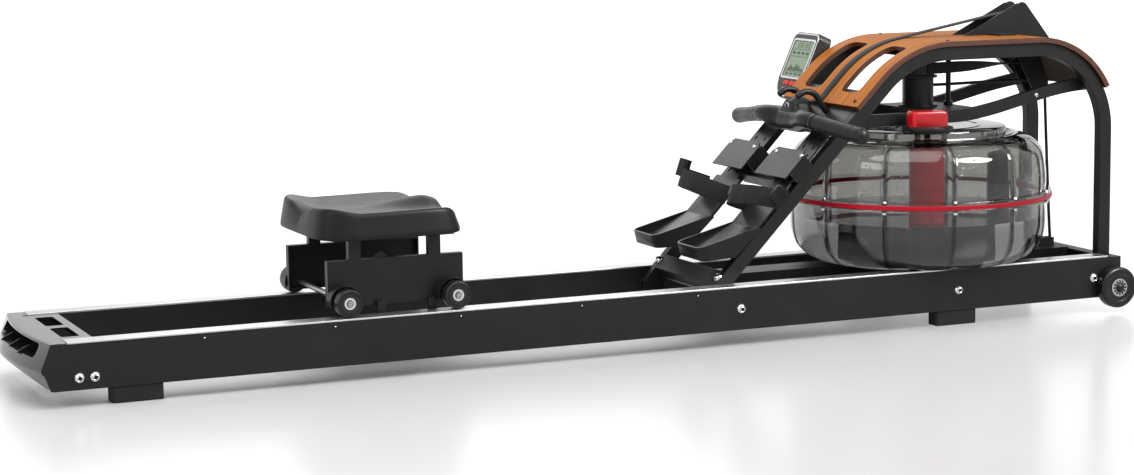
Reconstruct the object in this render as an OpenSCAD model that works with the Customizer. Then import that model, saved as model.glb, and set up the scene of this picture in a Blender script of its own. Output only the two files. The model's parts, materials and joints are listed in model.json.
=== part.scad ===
// Water rowing machine: two rails, a rolling seat, and an arch over a water tank.
// Lengths are in millimetres. X runs from the rear end cap to the front wheels,
// Y across the machine, Z up from the floor. The near side is at minus Y.

/* [Rails] */
// Length of each rail
rail_len = 2080; // [1980:5:2200]
// Width of one rail tube
rail_w = 37; // [34:0.5:42]
// Height of the rail tube
rail_h = 77; // [74:1:84]
// Wall of the rail tube
rail_wall = 2.5; // [2:0.5:4]
// Width over both rails
rails_span = 344; // [336:1:360]
// Thickness of the aluminium running strip
strip_t = 3; // [2:0.5:4]
// Gap between the strip's front end and the arch post
strip_front_gap = 4; // [2:1:12]
// Height of the rubber feet
foot_h = 28; // [22:1:36]
// Length of a rubber foot
foot_len = 88; // [70:1:110]
// Rear feet, distance from the rail's rear end
rear_foot_x = 98; // [90:1:160]
// Front feet, distance of their rear ends from the rail's front end
front_foot_back = 412; // [340:1:480]
// Width of the cross members along the rails
cross_w = 40; // [34:1:46]
// Height of the cross members
cross_h = 37; // [30:1:42]

/* [End cap] */
// How far the cap bulges behind the rails at mid width
cap_bulge = 46; // [38:1:60]
// How far its side faces bulge behind the rails
cap_side_bulge = 17; // [12:1:24]
// How much of the rail length the cap takes up
cap_cover = 17; // [14:1:24]
// Width of the hand hold in the cap
grip_w = 270; // [220:5:280]
// Height of the hand hold
grip_h = 24; // [18:1:26]
// Length of the slotted tray in front of the cap
tray_len = 62; // [50:1:70]

/* [Arch] */
// Arch tube size across the machine
tube_y = 20; // [18:1:22]
// Arch tube size in the arch's own plane
tube_h = 26; // [24:1:28]
// Wall of the arch tube
tube_wall = 2; // [1.5:0.5:3]
// Height of the arch's top face
arch_z = 522; // [515:1:530]
// Slope of the rear leg above level
leg_slope = 45.6; // [45:0.1:46.4]
// Outer radius of the rear bend
rear_bend = 202; // [196:1:208]
// Outer radius of the front bend
front_bend = 171.5; // [168:0.5:176]
// Length from the rear bend to the rails' front end
top_run = 368; // [362:1:374]
// Thickness of the wood panel
wood_t = 10; // [8:0.5:12]
// Width of the wood panel
wood_w = 284; // [276:1:290]
// Length of wood on the straight part of the leg
wood_tail = 70; // [60:1:76]
// Length of each slot in the wood
slot_len = 136; // [110:1:144]
// Width of each slot in the wood
slot_w = 66; // [50:1:68]

/* [Tank] */
// Distance of the tank's axis from the rails' front end
tank_back = 353; // [348:1:358]
// Radius of the tank wall
tank_r = 245; // [240:1:250]
// How far the joint flange stands out
flange_out = 10; // [9:0.5:13]
// Height of the seal between the two shells
seal_z = 233; // [225:1:240]
// Thickness of each shell's flange
flange_t = 7.5; // [6:0.5:10]
// Wall of the tank
tank_wall = 4; // [3:0.5:5]
// Height of the tank's lid
lid_z = 364; // [360:1:366]
// Radius of the raised lid
lid_r = 168; // [164:1:172]
// Depth of water
water_depth = 84; // [74:1:100]
// Radius swept by the impeller
impeller_r = 120; // [100:1:123]
// Height of the impeller's blades
blade_h = 40; // [30:1:48]
// Radius of the level selector's disc
selector_r = 51; // [44:1:54]
// Length of the selector's handle
selector_len = 78; // [60:1:80]

/* [Drive] */
// Radius of the wound belt on the drum
spool_r = 31; // [28:0.5:33]
// Radius of the belt pulleys
pulley_r = 22; // [20:0.5:23]
// Groove radius of the cord pulleys
cord_pulley_r = 12; // [10:0.5:12]
// Diameter of the pulley pins
pin_d = 8; // [6:0.5:10]
// Width of the drive belt
belt_w = 22; // [18:1:24]
// Thickness of the drive belt
belt_t = 2.5; // [2:0.5:3]
// Diameter of the recoil cord
cord_d = 6; // [5:0.5:6]

/* [Seat] */
// Distance of the seat's middle from the rails' rear end
seat_x = 613; // [560:1:660]
// Length of the pad along the rails
pad_len = 262; // [240:1:280]
// Width of the pad
pad_w = 282; // [260:1:300]
// Height of the pad's underside above the running strips
pad_lift = 128; // [120:1:136]
// Thickness of the pad at its lowest point
pad_t = 40; // [34:1:46]
// Length of the carriage side plates
plate_len = 248; // [240:1:260]
// Height of the side plates
plate_h = 80; // [70:1:86]
// Width of the folded edges of the side plates
plate_fold = 14; // [10:1:18]
// Outer face of a side plate from the middle
plate_y = 118; // [112:1:121]
// Radius of a seat roller
roller_r = 24; // [22:0.5:26]
// Width of a seat roller
roller_w = 22; // [18:1:24]
// Distance between the two axles
axle_gap = 197; // [186:1:204]
// Diameter of an axle
axle_d = 10; // [8:0.5:12]

/* [Foot rests] */
// Distance of a foot rest's centre from the middle
foot_y = 95; // [93:1:96]
// Width of the heel plate
heel_w = 100; // [92:1:102]
// Length of the heel plate up the slope
heel_len = 98; // [90:1:99]
// Width of the slotted strip
slide_w = 68; // [60:1:69]
// Length of the slotted strip
slide_len = 150; // [130:1:156]
// Spacing of the slots in the strip
notch_gap = 20.7; // [19:0.1:21]
// Height of the heel plate above the leg
heel_lift = 9; // [8:0.5:11]

/* [Handle] */
// Reach of one grip end from the middle
handle_half = 253; // [240:1:262]
// Radius of the grips
grip_r = 15; // [13.5:0.5:16.5]
// Diameter of the bars that hook over the handle
hook_d = 12; // [10:0.5:13]

/* [Wheels] */
// Radius of a transport wheel
wheel_r = 39.5; // [36:0.5:42]
// Width of a transport wheel
wheel_w = 24; // [20:1:28]
// Height of the wheel's axle above the floor
wheel_z = 48; // [46:1:50]

/* [Console] */
// Width of the console
console_w = 106; // [100:1:110]
// Height of the console's face
console_h = 138; // [130:1:144]
// Depth of the console
console_t = 28; // [24:1:32]
// Lean of the console's face from upright
console_lean = 24; // [20:1:28]
// Distance of the console's middle from the machine's middle
console_y = 200; // [197:1:210]

/* [Fasteners] */
// Diameter of the domed bolt heads
dome_d = 16; // [12:1:18]
// Diameter of the tank's bolts
tank_bolt_d = 5; // [4:0.5:5.5]
// Number of bolts round the tank
tank_bolts_n = 12; // [8:1:16]
// Thickness of the folded sheet parts
sheet_t = 3; // [2.5:0.1:3.5]
// Running clearance on a shaft, on the radius
run_gap = 0.05; // [0.02:0.01:0.1]
// Gap between faces that pass each other
face_gap = 0.3; // [0.3:0.1:0.5]

/* [Hidden] */
round_n = 64;

// Levels and faces of the rails
rail_z = foot_h;
rail_top = rail_z + rail_h;
track_z = rail_top + strip_t;
rail_out = rails_span / 2;
rail_in = rail_out - rail_w;
rail_mid = (rail_out + rail_in) / 2;
cap_top = track_z - 1;
cross_z = rail_z + 20;
cross_top = cross_z + cross_h;
wheel_x = rail_len - 19;
front_foot_x = rail_len - front_foot_back;
rear_bend_x = rail_len - top_run;
tank_x = rail_len - tank_back;
mid_x = (wheel_x + wheel_r - cap_bulge) / 2;

// The arch in side view, as X and Z
arch_out = rail_in - face_gap;
arch_in = arch_out - tube_y;
arch_mid = (arch_out + arch_in) / 2;
arch_low = rail_z + 34;
up_leg = [cos(leg_slope), sin(leg_slope)];
off_leg = [-sin(leg_slope), cos(leg_slope)];
rear_c = [rear_bend_x, arch_z - rear_bend];
front_c = [rail_len - front_bend, arch_z - front_bend];
leg_u = (rear_c[1] + rear_bend * off_leg[1] - track_z) / up_leg[1];
leg_foot = rear_c + rear_bend * off_leg - leg_u * up_leg;
function on_leg(u, n) = leg_foot + u * up_leg + n * off_leg;
function leg_x(z, n) = on_leg((z - track_z - n * off_leg[1]) / up_leg[1], n)[0];
function round_bend(c, r, a) = c + r * [cos(a), sin(a)];
leg_cross_x = leg_x(cross_top, -tube_h) + face_gap;
mid_cross_x = tank_x - 32;
front_cross_x = rail_len - 80;
end_cross_x = rail_len - tube_h;
beam_half = 35;

// The wood ends at these angles and distances
wood_u = leg_u - wood_tail;
wood_end_a = 27.4;
belt_hole = belt_w / 2 + 2.5;

// Drive train, X and Z of the pulleys
horn_c = [tank_x + 211, arch_z + 31];
idler_c = [tank_x + 233, arch_z - 25];
cord_c = [tank_x + 273, arch_z - 98];
cord_foot_c = [tank_x + 293, track_z + 2];
horn_y = 19.5;
idler_y = belt_hole + 0.5;
cord_y = 7;
lower_plate_z = lid_z + 29;
lower_plate_top = lower_plate_z + 2 * sheet_t;
top_plate_z = arch_z - tube_h + 1;
drum_z = lower_plate_top + face_gap;
spool_z = drum_z + 61;
spool_top = spool_z + belt_w + 5;
shaft_r = 6;
beam_y = 90;
beam_t = 12;
beam_h = 23;

// Belt line, held off what it runs over
belt_off = belt_t / 2 + face_gap;
belt_bend = rear_bend + wood_t + belt_off;
belt_run = pulley_r + belt_off;
belt_spool = spool_r + belt_off;
horn_way = horn_c - rear_c;
lift_a = atan2(horn_way[1], horn_way[0]) + acos((belt_bend - belt_run) / norm(horn_way));
drop_way = idler_c - horn_c;
drop_a = atan2(drop_way[1], drop_way[0]) + 90;
belt_z = idler_c[1] - belt_run;

// Route of the recoil cord from the tank's axis: off the drum, over one pulley, under the next,
// and along the beam
cord_route = [
  [0, 33.4, 436], [33, 30, 436], [73, 25, 436], [113, 20, 437], [153, 15, 438], [193, 10, 438.5],
  [233, 5, 439], [258, 1.5, 439.2], [273, 0, 439.3], [279, 0, 438], [284, 0, 435], [287, 0, 430.5],
  [288.5, 0, 425], [290, 0, 400], [292, 0, 360], [295, 0, 300], [298.5, 0, 240], [302, 0, 180],
  [305, 0, 135], [307.5, 0, 116], [308.4, 0, 108], [306.4, 0, 101.2], [301, 0, 96.2], [293, 0, 94.6],
  [278, 0, 94.5], [258, 0, 94.5], [213, 0, 94.5], [153, 0, 94.5], [73, 0, 94.5], [-7, 0, 94.5],
  [-87, 0, 94.5], [-167, 0, 94.5], [-247, 0, 94.5], [-327, 0, 94.5], [-397, 0, 94.5], [-447, 0, 94.5]
];

// Tank
tank_in = tank_r - tank_wall;
flange_r = tank_r + flange_out;
seal_t = 3;
seat_lower = seal_z - seal_t / 2;
seat_upper = seal_z + seal_t / 2;
bolt_ring = tank_r + flange_out / 2;
tank_floor = track_z + tank_wall;
water_top = tank_floor + face_gap + water_depth;
blade_z = tank_floor + 18;
selector_x = tank_x - 67;
selector_y = -145;
selector_pin_r = 6;

// Seat
roller_z = track_z + roller_r + face_gap;
plate_z = track_z + 12;
pad_z = track_z + pad_lift;

// Handle, with the grips' axis from inner to outer end
grip_in = [leg_foot[0] + 219, 110, 391];
grip_dir = [27, 143, -17] / norm([27, 143, -17]);
handle_x = leg_foot[0] + 233;
clip_x = handle_x + 31;

// Console hinge on the arch, and the hinge's place behind the face
hinge_p = round_bend(rear_c, rear_bend - tube_h / 2, 121.4);
arm_r = 6;
hinge_x = console_t + arm_r + 2;
hinge_up = 26;
wheel_bolt_r = 5;

// Helpers for lists of points
function unit(v) = v / norm(v);
function join_lists(l) = [for (a = l) for (b = a) b];
function side_point(p, y = 0) = [p[0], y, p[1]];
function arc_points(c, r, a0, a1, n) = [for (i = [0:n]) round_bend(c, r, a0 + (a1 - a0) * i / n)];
function ease(t) = let(s = min(1, max(0, t))) s * s * (3 - 2 * s);
function way(p, i) = unit(p[min(i + 1, len(p) - 1)] - p[max(i - 1, 0)]);

// Closed skin through rings of points, each ring turning left about the way it goes
module loft(rings) {
  n = len(rings[0]);
  m = len(rings);
  e = (m - 1) * n;
  polyhedron(
    points = join_lists(rings),
    faces = concat(
      [for (j = [1:n - 2]) [0, j, j + 1]],
      join_lists([for (i = [0:m - 2]) for (j = [0:n - 1])
        let(a = i * n + j, b = i * n + (j + 1) % n) [[a, a + n, b + n], [a, b + n, b]]]),
      [for (j = [1:n - 2]) [e, e + j + 1, e + j]]
    ),
    convexity = 8
  );
}

// Round bar swept along points that stay near one XZ plane
module tube(path, r, n) {
  loft([for (i = [0:len(path) - 1])
    let(t = way(path, i), s = unit(cross([0, 1, 0], t)), v = cross(t, s))
    [for (k = [0:n - 1]) path[i] + r * cos(360 * k / n) * s + r * sin(360 * k / n) * v]]);
}

module at_origin() {
  translate([-mid_x, 0, 0]) children();
}

module both_sides() {
  for (m = [0, 1]) mirror([0, m, 0]) children();
}

// Side view outline made solid between two places across the machine
module slab(y0, y1) {
  translate([0, y1, 0]) rotate([90, 0, 0]) linear_extrude(y1 - y0) children();
}

// Frame with X up the leg and Z out of its upper face
module on_slope() {
  translate([leg_foot[0], 0, leg_foot[1]]) rotate([0, -leg_slope, 0]) children();
}

module along(p, d) {
  translate(p) rotate([0, acos(d[2] / norm(d)), atan2(d[1], d[0])]) children();
}

module rrect(l, w, r) {
  square([l - 2 * r, w], center = true);
  square([l, w - 2 * r], center = true);
  for (x = [-1, 1], y = [-1, 1]) translate([x * (l / 2 - r), y * (w / 2 - r)]) circle(r, $fn = 32);
}

// Domed bolt head, flat on its seat, pointing along Z
module dome(d, h) {
  big = (d * d / 4 + h * h) / (2 * h);
  intersection() {
    translate([0, 0, h - big]) sphere(big, $fn = 48);
    cylinder(h = h, d = d, $fn = 48);
  }
}

// The arch's two bends in side view, moved out by grow, up to one angle of the front bend
function arch_bends(grow, end_a) = concat(
  arc_points(rear_c, rear_bend + grow, 90 + leg_slope, 90, 20),
  arc_points(front_c, front_bend + grow, 90, end_a, 36)
);

// Everything under the arch's outer face, moved out by grow
module arch_region(grow, low) {
  polygon(concat([[leg_x(low, grow), low]], arch_bends(grow, 0), [[rail_len + grow, low]]));
}

// Band between two offsets of the arch's outer face, with its own ends
module arch_band(g0, g1, start0, start1, end_a, end0, end1) {
  outer = concat(start0, arch_bends(g0, end_a), end0);
  inner = concat(start1, arch_bends(g1, end_a), end1);
  m = len(inner) - 1;
  polygon(concat(outer, [for (i = [0:m]) inner[m - i]]));
}

module rail() {
  x0 = cap_cover;
  difference() {
    translate([x0, -rail_out, rail_z]) cube([rail_len - x0, rail_w, rail_h]);
    translate([x0 - 1, -rail_out + rail_wall, rail_z + rail_wall])
      cube([rail_len - x0 + 1 - sheet_t, rail_w - 2 * rail_wall, rail_h - 2 * rail_wall]);
    translate([wheel_x, -rail_in + 1, wheel_z]) rotate([90, 0, 0])
      cylinder(h = rail_w + 2, r = wheel_bolt_r + run_gap, $fn = round_n);
  }
}

module rail_near() {
  color("#1c1c1e") at_origin() rail();
}

module rail_far() {
  color("#1c1c1e") at_origin() mirror([0, 1, 0]) rail();
}

module running_strips() {
  x0 = cap_cover + 10 + face_gap;
  x1 = rail_len - tube_h - strip_front_gap;
  color("#c9ccd0") at_origin() both_sides()
    translate([x0, -rail_out, rail_top]) cube([x1 - x0, rail_w, strip_t]);
}

// Rear surface of the cap at one place across the machine
function cap_ring(y, t, front) =
  let(q = 1 - pow(y / rail_out, 2), low = rail_z + t, top = cap_top - t,
      crease = -cap_side_bulge - (cap_bulge - cap_side_bulge) * q + t,
      lip = -15 * q + t, foot = -2 + t)
  [
    [foot, y, low], [(foot + crease) / 2 - 1, y, (low + rail_z + 45) / 2],
    [crease + 0.6, y, rail_z + 42], [crease + 0.6, y, rail_z + 48],
    [lip - 1.5, y, top - 4], [lip + 1, y, top - 1], [lip + 4, y, top],
    [front, y, top], [front, y, low]
  ];

module cap_body(t, front) {
  half = rail_out - t;
  n = 28;
  loft([for (i = [0:n]) cap_ring(-half + 2 * half * i / n, t, front)]);
}

module end_cap() {
  lip = cap_top - sheet_t;
  floor_z = lip - grip_h;
  color("#141416") at_origin() {
    difference() {
      union() {
        difference() {
          cap_body(0, cap_cover);
          cap_body(sheet_t, cap_cover + 1);
        }
        intersection() {
          cap_body(0, cap_cover);
          translate([-80, -grip_w / 2 - sheet_t, floor_z - sheet_t])
            cube([78 + cap_cover, grip_w + 2 * sheet_t, grip_h + 2 * sheet_t]);
        }
        translate([cap_cover - sheet_t, -rail_in, rail_z]) cube([sheet_t, 2 * rail_in, cap_top - rail_z - 1]);
      }
      translate([-80, -grip_w / 2, floor_z]) cube([75 + cap_cover, grip_w, grip_h]);
    }
    intersection() {
      cap_body(0.5, cap_cover - 1);
      for (y = [-60, 0, 60]) translate([-60, y - 2, floor_z - 1]) cube([56 + cap_cover, 4, 8]);
    }
    both_sides() translate([cap_cover - 1, -rail_out, rail_top]) cube([11, rail_w, cap_top - rail_top]);
  }
}

module cap_tray() {
  z = rail_top - 2;
  color("#17171a") at_origin() difference() {
    translate([cap_cover, -rail_in, 0]) {
      translate([0, 0, z]) cube([tray_len, 2 * rail_in, sheet_t]);
      translate([tray_len - sheet_t, 0, z - 15]) cube([sheet_t, 2 * rail_in, 15.5]);
    }
    both_sides() translate([cap_cover + tray_len / 2, -58.5, z - 1]) linear_extrude(sheet_t + 2)
      rrect(tray_len / 2, 93, 6);
  }
}

module feet() {
  color("#202022") at_origin() both_sides() for (x = [rear_foot_x, front_foot_x])
    translate([x + foot_len / 2, -rail_mid, 0]) linear_extrude(foot_h) rrect(foot_len, rail_w - 4, 6);
}

module cross_bar(x, w, half, z0, z1) {
  difference() {
    translate([x, -half, z0]) cube([w, 2 * half, z1 - z0]);
    translate([x + rail_wall, -half - 1, z0 + rail_wall])
      cube([w - 2 * rail_wall, 2 * half + 2, z1 - z0 - 2 * rail_wall]);
  }
}

module cross_members() {
  color("#1f1f21") at_origin() {
    for (x = [leg_cross_x, mid_cross_x, front_cross_x]) cross_bar(x, cross_w, rail_in, cross_z, cross_top);
    cross_bar(end_cross_x, tube_h, arch_in, arch_low, rail_top);
  }
}

module centre_beam() {
  x0 = leg_cross_x + cross_w;
  x1 = end_cross_x - 2;
  color("#1f1f21") at_origin() difference() {
    union() {
      difference() {
        translate([x0, -beam_half, cross_top]) cube([x1 - x0, 2 * beam_half, track_z - cross_top]);
        translate([x0 + sheet_t, -beam_half + sheet_t, cross_top - 1])
          cube([x1 - x0 - 2 * sheet_t, 2 * (beam_half - sheet_t), track_z - cross_top - sheet_t + 1]);
      }
      both_sides() translate([cord_foot_c[0] - 16, -cord_y - sheet_t, track_z - sheet_t]) cube([32, sheet_t, 20]);
      translate([cord_foot_c[0], 0, cord_foot_c[1]]) rotate([90, 0, 0])
        cylinder(h = 2 * cord_y + 2, d = pin_d, center = true, $fn = round_n);
    }
    difference() {
      translate([cord_foot_c[0] - 18, -cord_y, track_z - sheet_t - 1]) cube([41, 2 * cord_y, sheet_t + 2]);
      translate([cord_foot_c[0], 0, cord_foot_c[1]]) rotate([90, 0, 0])
        cylinder(h = 2 * cord_y + 2, d = pin_d, center = true, $fn = round_n);
    }
  }
}

// Bolts on the rails, legs, posts, wood and foot rests
module frame_bolts() {
  color("#b9bcc0") at_origin() {
    both_sides() {
      for (p = [
        [45, cross_z], [71, cross_z], [leg_cross_x + cross_w / 2, cross_z + cross_h / 2],
        [mid_cross_x + cross_w / 2, cross_z + cross_h / 2], [front_cross_x + 18, cross_z + cross_h / 2]
      ]) translate([p[0], -rail_out, p[1]]) rotate([90, 0, 0]) dome(dome_d, 5);
      for (i = [0:4]) translate([256 + 228 * i, -rail_out, rail_top - 8]) rotate([90, 0, 0]) dome(7, 2);
      translate([rail_len, -arch_mid, arch_z - 193]) rotate([0, 90, 0]) dome(dome_d - 2, 4);
      on_slope() {
        translate([16, -arch_mid, 0]) dome(dome_d, 6);
        translate([wood_u + 12, -120, wood_t]) dome(8, 2.5);
        for (y = [foot_y - 50, foot_y + 46]) translate([284, -y, 34]) dome(11, 4.5);
      }
      translate([front_c[0] - 22, -45, arch_z + wood_t + sheet_t]) dome(10, 3);
      translate([rear_c[0] + 4, -124, arch_z + wood_t]) dome(8, 2.5);
      translate([front_c[0] + 20, -beam_y - beam_t, beam_mid(front_c[0] + 20)]) rotate([90, 0, 0]) dome(10, 4);
    }
  }
}

module arch() {
  cut_x = leg_cross_x - 40;
  cut_z = track_z - (leg_foot[0] - cut_x) * tan(leg_slope);
  low = arch_low - 20;
  g0 = -tube_wall;
  g1 = -tube_h + tube_wall;
  difference() {
    slab(-arch_out, -arch_in) arch_band(
      0, -tube_h, [[cut_x, arch_low], [cut_x, cut_z]],
      [[leg_cross_x, arch_low], [leg_cross_x, cross_top]], 0,
      [[rail_len, arch_low]], [[rail_len - tube_h, arch_low]]
    );
    slab(-arch_out + tube_wall, -arch_in - tube_wall) arch_band(
      g0, g1, [[leg_x(low, g0), low]], [[leg_x(low, g1), low]], 0,
      [[rail_len + g0, low]], [[rail_len + g1, low]]
    );
  }
}

module arch_near() {
  color("#1e1e20") at_origin() arch();
}

module arch_far() {
  color("#1e1e20") at_origin() mirror([0, 1, 0]) arch();
}

// Bars between the two legs: one at the foot, one under the foot rests
module leg_crossbars() {
  color("#222224") at_origin() on_slope() {
    translate([-3, -arch_in, -28]) cube([34, 2 * arch_in, 28]);
    translate([240, -arch_in, -30]) cube([45, 2 * arch_in, 30]);
  }
}

module hook_plate() {
  color("#3a3a3c") at_origin() on_slope() translate([360, -arch_in, -sheet_t])
    cube([110, 2 * arch_in, sheet_t]);
}

module handle_hooks() {
  root = on_leg(leg_u - 84, 0);
  color("#18181a") at_origin() both_sides() tube([for (p = [
    [0, 0], [-6, 6], [-12, 14], [-17, 22.5], [-22.5, 30.5], [-30, 36.5], [-39, 39.8], [-48, 40],
    [-56, 37.5], [-62.5, 32.5], [-67.5, 26]
  ]) [root[0] + p[0], -35, root[1] + p[1]]], hook_d / 2, 12);
}

module wood_panel() {
  mid_a = 90 + leg_slope - 28.5 / rear_bend * 180 / PI;
  mid_p = round_bend(rear_c, rear_bend, mid_a);
  color("#c8753a") at_origin() difference() {
    slab(-wood_w / 2, wood_w / 2)
      arch_band(wood_t, 0, [on_leg(wood_u, wood_t)], [on_leg(wood_u, 0)], wood_end_a, [], []);
    both_sides() translate([mid_p[0], -71.5, mid_p[1]]) rotate([0, 90 - mid_a, 0]) translate([0, 0, -40])
      linear_extrude(80) rrect(slot_len, slot_w, 16);
    translate([idler_c[0] - pulley_r - 12, -belt_w / 2 - 5, arch_z - 60])
      cube([2 * pulley_r + 24, belt_w + 10, 100]);
  }
}

// Height of the bearing beams' middle line
function beam_mid(x) = lid_z + 22.5 + 49 * ease((x - tank_x - 13) / 310);

module bearing_beams() {
  n = 26;
  x0 = leg_x(lid_z + 23, -tube_h) - 18;
  x1 = rail_len - 34;
  line = [for (i = [0:n]) let(x = x0 + (x1 - x0) * i / n) [x, beam_mid(x)]];
  color("#19191b") at_origin() both_sides() {
    slab(-beam_y - beam_t, -beam_y) polygon(concat(
      [for (p = line) p + [0, beam_h / 2]],
      [for (i = [0:n]) line[n - i] - [0, beam_h / 2]]
    ));
    for (x = [x0 + 9, x1 - 11]) translate([x, -beam_y - beam_t + 0.5, beam_mid(x)])
      rotate([90, 0, 0]) cylinder(h = arch_in - beam_y - beam_t + 0.5, r = 9, $fn = round_n);
  }
}

module top_plate() {
  color("#222224") at_origin() difference() {
    union() {
      translate([tank_x - 35, -arch_in, top_plate_z]) cube([160, 2 * arch_in, sheet_t]);
      translate([tank_x, 0, spool_top + 3]) cylinder(h = top_plate_z + 1 - spool_top - 3, r = 16, $fn = round_n);
    }
    translate([tank_x, 0, spool_top]) cylinder(h = 40, r = shaft_r + 2 + run_gap, $fn = round_n);
  }
}

module lower_plate() {
  color("#222224") at_origin() difference() {
    translate([tank_x - 37, -beam_y, lower_plate_z]) cube([120, 2 * beam_y, 2 * sheet_t]);
    translate([tank_x, 0, lower_plate_z - 1]) cylinder(h = 20, r = shaft_r + run_gap, $fn = round_n);
  }
}

module tie_rod() {
  color("#8f9296") at_origin() translate([tank_x + 68, 0, 0]) {
    translate([0, 0, lower_plate_top]) cylinder(h = top_plate_z - lower_plate_top, r = 5, $fn = round_n);
    translate([0, 0, lower_plate_top]) cylinder(h = 7, r = 9, $fn = round_n);
  }
}

module horn_outline() {
  difference() {
    union() {
      polygon([
        [horn_c[0] - 135, arch_z + 4], [horn_c[0] - 3, horn_c[1] + 38], [horn_c[0] + 20, horn_c[1] + 34],
        [horn_c[0] + 72, horn_c[1] - 31], [horn_c[0] + 79, horn_c[1] - 53], [horn_c[0] - 38, arch_z - 20]
      ]);
      translate([horn_c[0] + 9, horn_c[1] + 27]) circle(13, $fn = 48);
    }
    arch_region(wood_t + 0.1, arch_low - 1);
  }
}

module horn_plates() {
  color("#161618") at_origin() {
    both_sides() {
      slab(-horn_y - sheet_t, -horn_y) horn_outline();
      translate([front_c[0] - 40, -62, arch_z + wood_t]) cube([40, 62 - horn_y, sheet_t]);
    }
    translate([horn_c[0], 0, horn_c[1]]) rotate([90, 0, 0])
      cylinder(h = 2 * horn_y + 2, d = pin_d, center = true, $fn = round_n);
  }
}

module idler_outline() {
  intersection() {
    polygon([
      [idler_c[0] - 18, arch_z], [idler_c[0] - 18, idler_c[1] - 12], [cord_c[0] - 18, cord_c[1] - 12],
      [cord_c[0] + 13, cord_c[1] - 12], [cord_c[0] + 13, cord_c[1] + 16], [idler_c[0] + 24, idler_c[1] + 8],
      [idler_c[0] + 30, arch_z]
    ]);
    arch_region(0, arch_low);
  }
}

module idler_frame() {
  color("#1c1c1e") at_origin() {
    both_sides() slab(-idler_y - sheet_t, -idler_y) idler_outline();
    translate([idler_c[0], 0, idler_c[1]]) rotate([90, 0, 0])
      cylinder(h = 2 * idler_y + 2, d = pin_d, center = true, $fn = round_n);
    translate([cord_c[0], 0, cord_c[1]]) rotate([90, 0, 0]) {
      cylinder(h = 2 * idler_y + 2, d = pin_d, center = true, $fn = round_n);
      both_sides_z() translate([0, 0, cord_y]) cylinder(h = idler_y - cord_y + 0.5, r = 7, $fn = round_n);
    }
  }
}

module both_sides_z() {
  for (m = [0, 1]) mirror([0, 0, m]) children();
}

// Places of the tank's bolts
module round_tank() {
  for (i = [0:tank_bolts_n - 1]) rotate([0, 0, 360 * (i + 0.5) / tank_bolts_n])
    translate([bolt_ring, 0, 0]) children();
}

module bolt_holes(z0, z1) {
  round_tank() translate([0, 0, z0 - 1]) cylinder(h = z1 - z0 + 2, d = tank_bolt_d + 0.2, $fn = 24);
}

module at_tank() {
  at_origin() translate([tank_x, 0, 0]) children();
}

module tank_lower() {
  color([0.55, 0.58, 0.62, 0.45]) at_tank() difference() {
    rotate_extrude($fn = 180) polygon([
      [0, track_z], [tank_r - 56, track_z], [tank_r - 46, track_z + 2], [tank_r - 34, track_z + 7],
      [tank_r - 24, track_z + 14], [tank_r - 16, track_z + 22], [tank_r - 9, track_z + 33],
      [tank_r - 4, track_z + 47], [tank_r - 1, track_z + 62], [tank_r, track_z + 78],
      [tank_r, seat_lower - flange_t], [flange_r, seat_lower - flange_t], [flange_r, seat_lower],
      [tank_in, seat_lower], [tank_in, track_z + 78], [tank_in - 1, track_z + 63],
      [tank_in - 4, track_z + 49], [tank_in - 8.5, track_z + 35.5], [tank_in - 15, track_z + 25],
      [tank_in - 22, track_z + 17.5], [tank_in - 31, track_z + 10.5], [tank_in - 43, tank_floor + 1.8],
      [tank_in - 52, tank_floor], [0, tank_floor]
    ]);
    bolt_holes(seat_lower - flange_t, seat_lower);
  }
}

module tank_upper() {
  color([0.45, 0.48, 0.52, 0.5]) at_tank() difference() {
    union() {
      rotate_extrude($fn = 180) polygon([
        [tank_in, seat_upper], [flange_r, seat_upper], [flange_r, seat_upper + flange_t],
        [tank_r, seat_upper + flange_t], [tank_r, lid_z - 94], [tank_r - 2, lid_z - 72],
        [tank_r - 5, lid_z - 53], [tank_r - 10, lid_z - 42], [tank_r - 19, lid_z - 32],
        [tank_r - 32, lid_z - 22], [tank_r - 50, lid_z - 14], [lid_r + 9, lid_z - 14],
        [lid_r + 5, lid_z - 19], [lid_r, lid_z - 19], [lid_r, lid_z - 4], [lid_r - 5, lid_z],
        [0, lid_z], [0, lid_z - tank_wall], [lid_r - tank_wall, lid_z - tank_wall],
        [lid_r - tank_wall, lid_z - 23], [tank_r - 51, lid_z - 23], [tank_in - 31, lid_z - 26],
        [tank_in - 18, lid_z - 35], [tank_in - 9.5, lid_z - 44.5], [tank_in - 5, lid_z - 54],
        [tank_in - 2, lid_z - 72], [tank_in, lid_z - 94]
      ]);
      translate([selector_x - tank_x, selector_y, lid_z - 23]) cylinder(h = 23, r = 24, $fn = round_n);
    }
    bolt_holes(seat_upper, seat_upper + flange_t);
    translate([0, 0, lid_z - 20]) cylinder(h = 40, r = shaft_r + 2, $fn = round_n);
    translate([selector_x - tank_x, selector_y, lid_z - 20])
      cylinder(h = 40, r = selector_pin_r + run_gap, $fn = round_n);
  }
}

module tank_seal() {
  color("#c4161c") at_tank() difference() {
    rotate_extrude($fn = 180) translate([tank_in, seat_lower]) square([flange_r + 1 - tank_in, seal_t]);
    bolt_holes(seat_lower, seat_upper);
  }
}

module tank_bolts() {
  color("#d5d7da") at_tank() round_tank() {
    translate([0, 0, seat_lower - flange_t - 3]) cylinder(h = seal_t + 2 * flange_t + 3, d = tank_bolt_d, $fn = 24);
    translate([0, 0, seat_lower - flange_t - 4]) cylinder(h = 4, d = 1.7 * tank_bolt_d, $fn = 6);
    translate([0, 0, seat_upper + flange_t]) dome(1.8 * tank_bolt_d, 3.5);
  }
}

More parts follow.
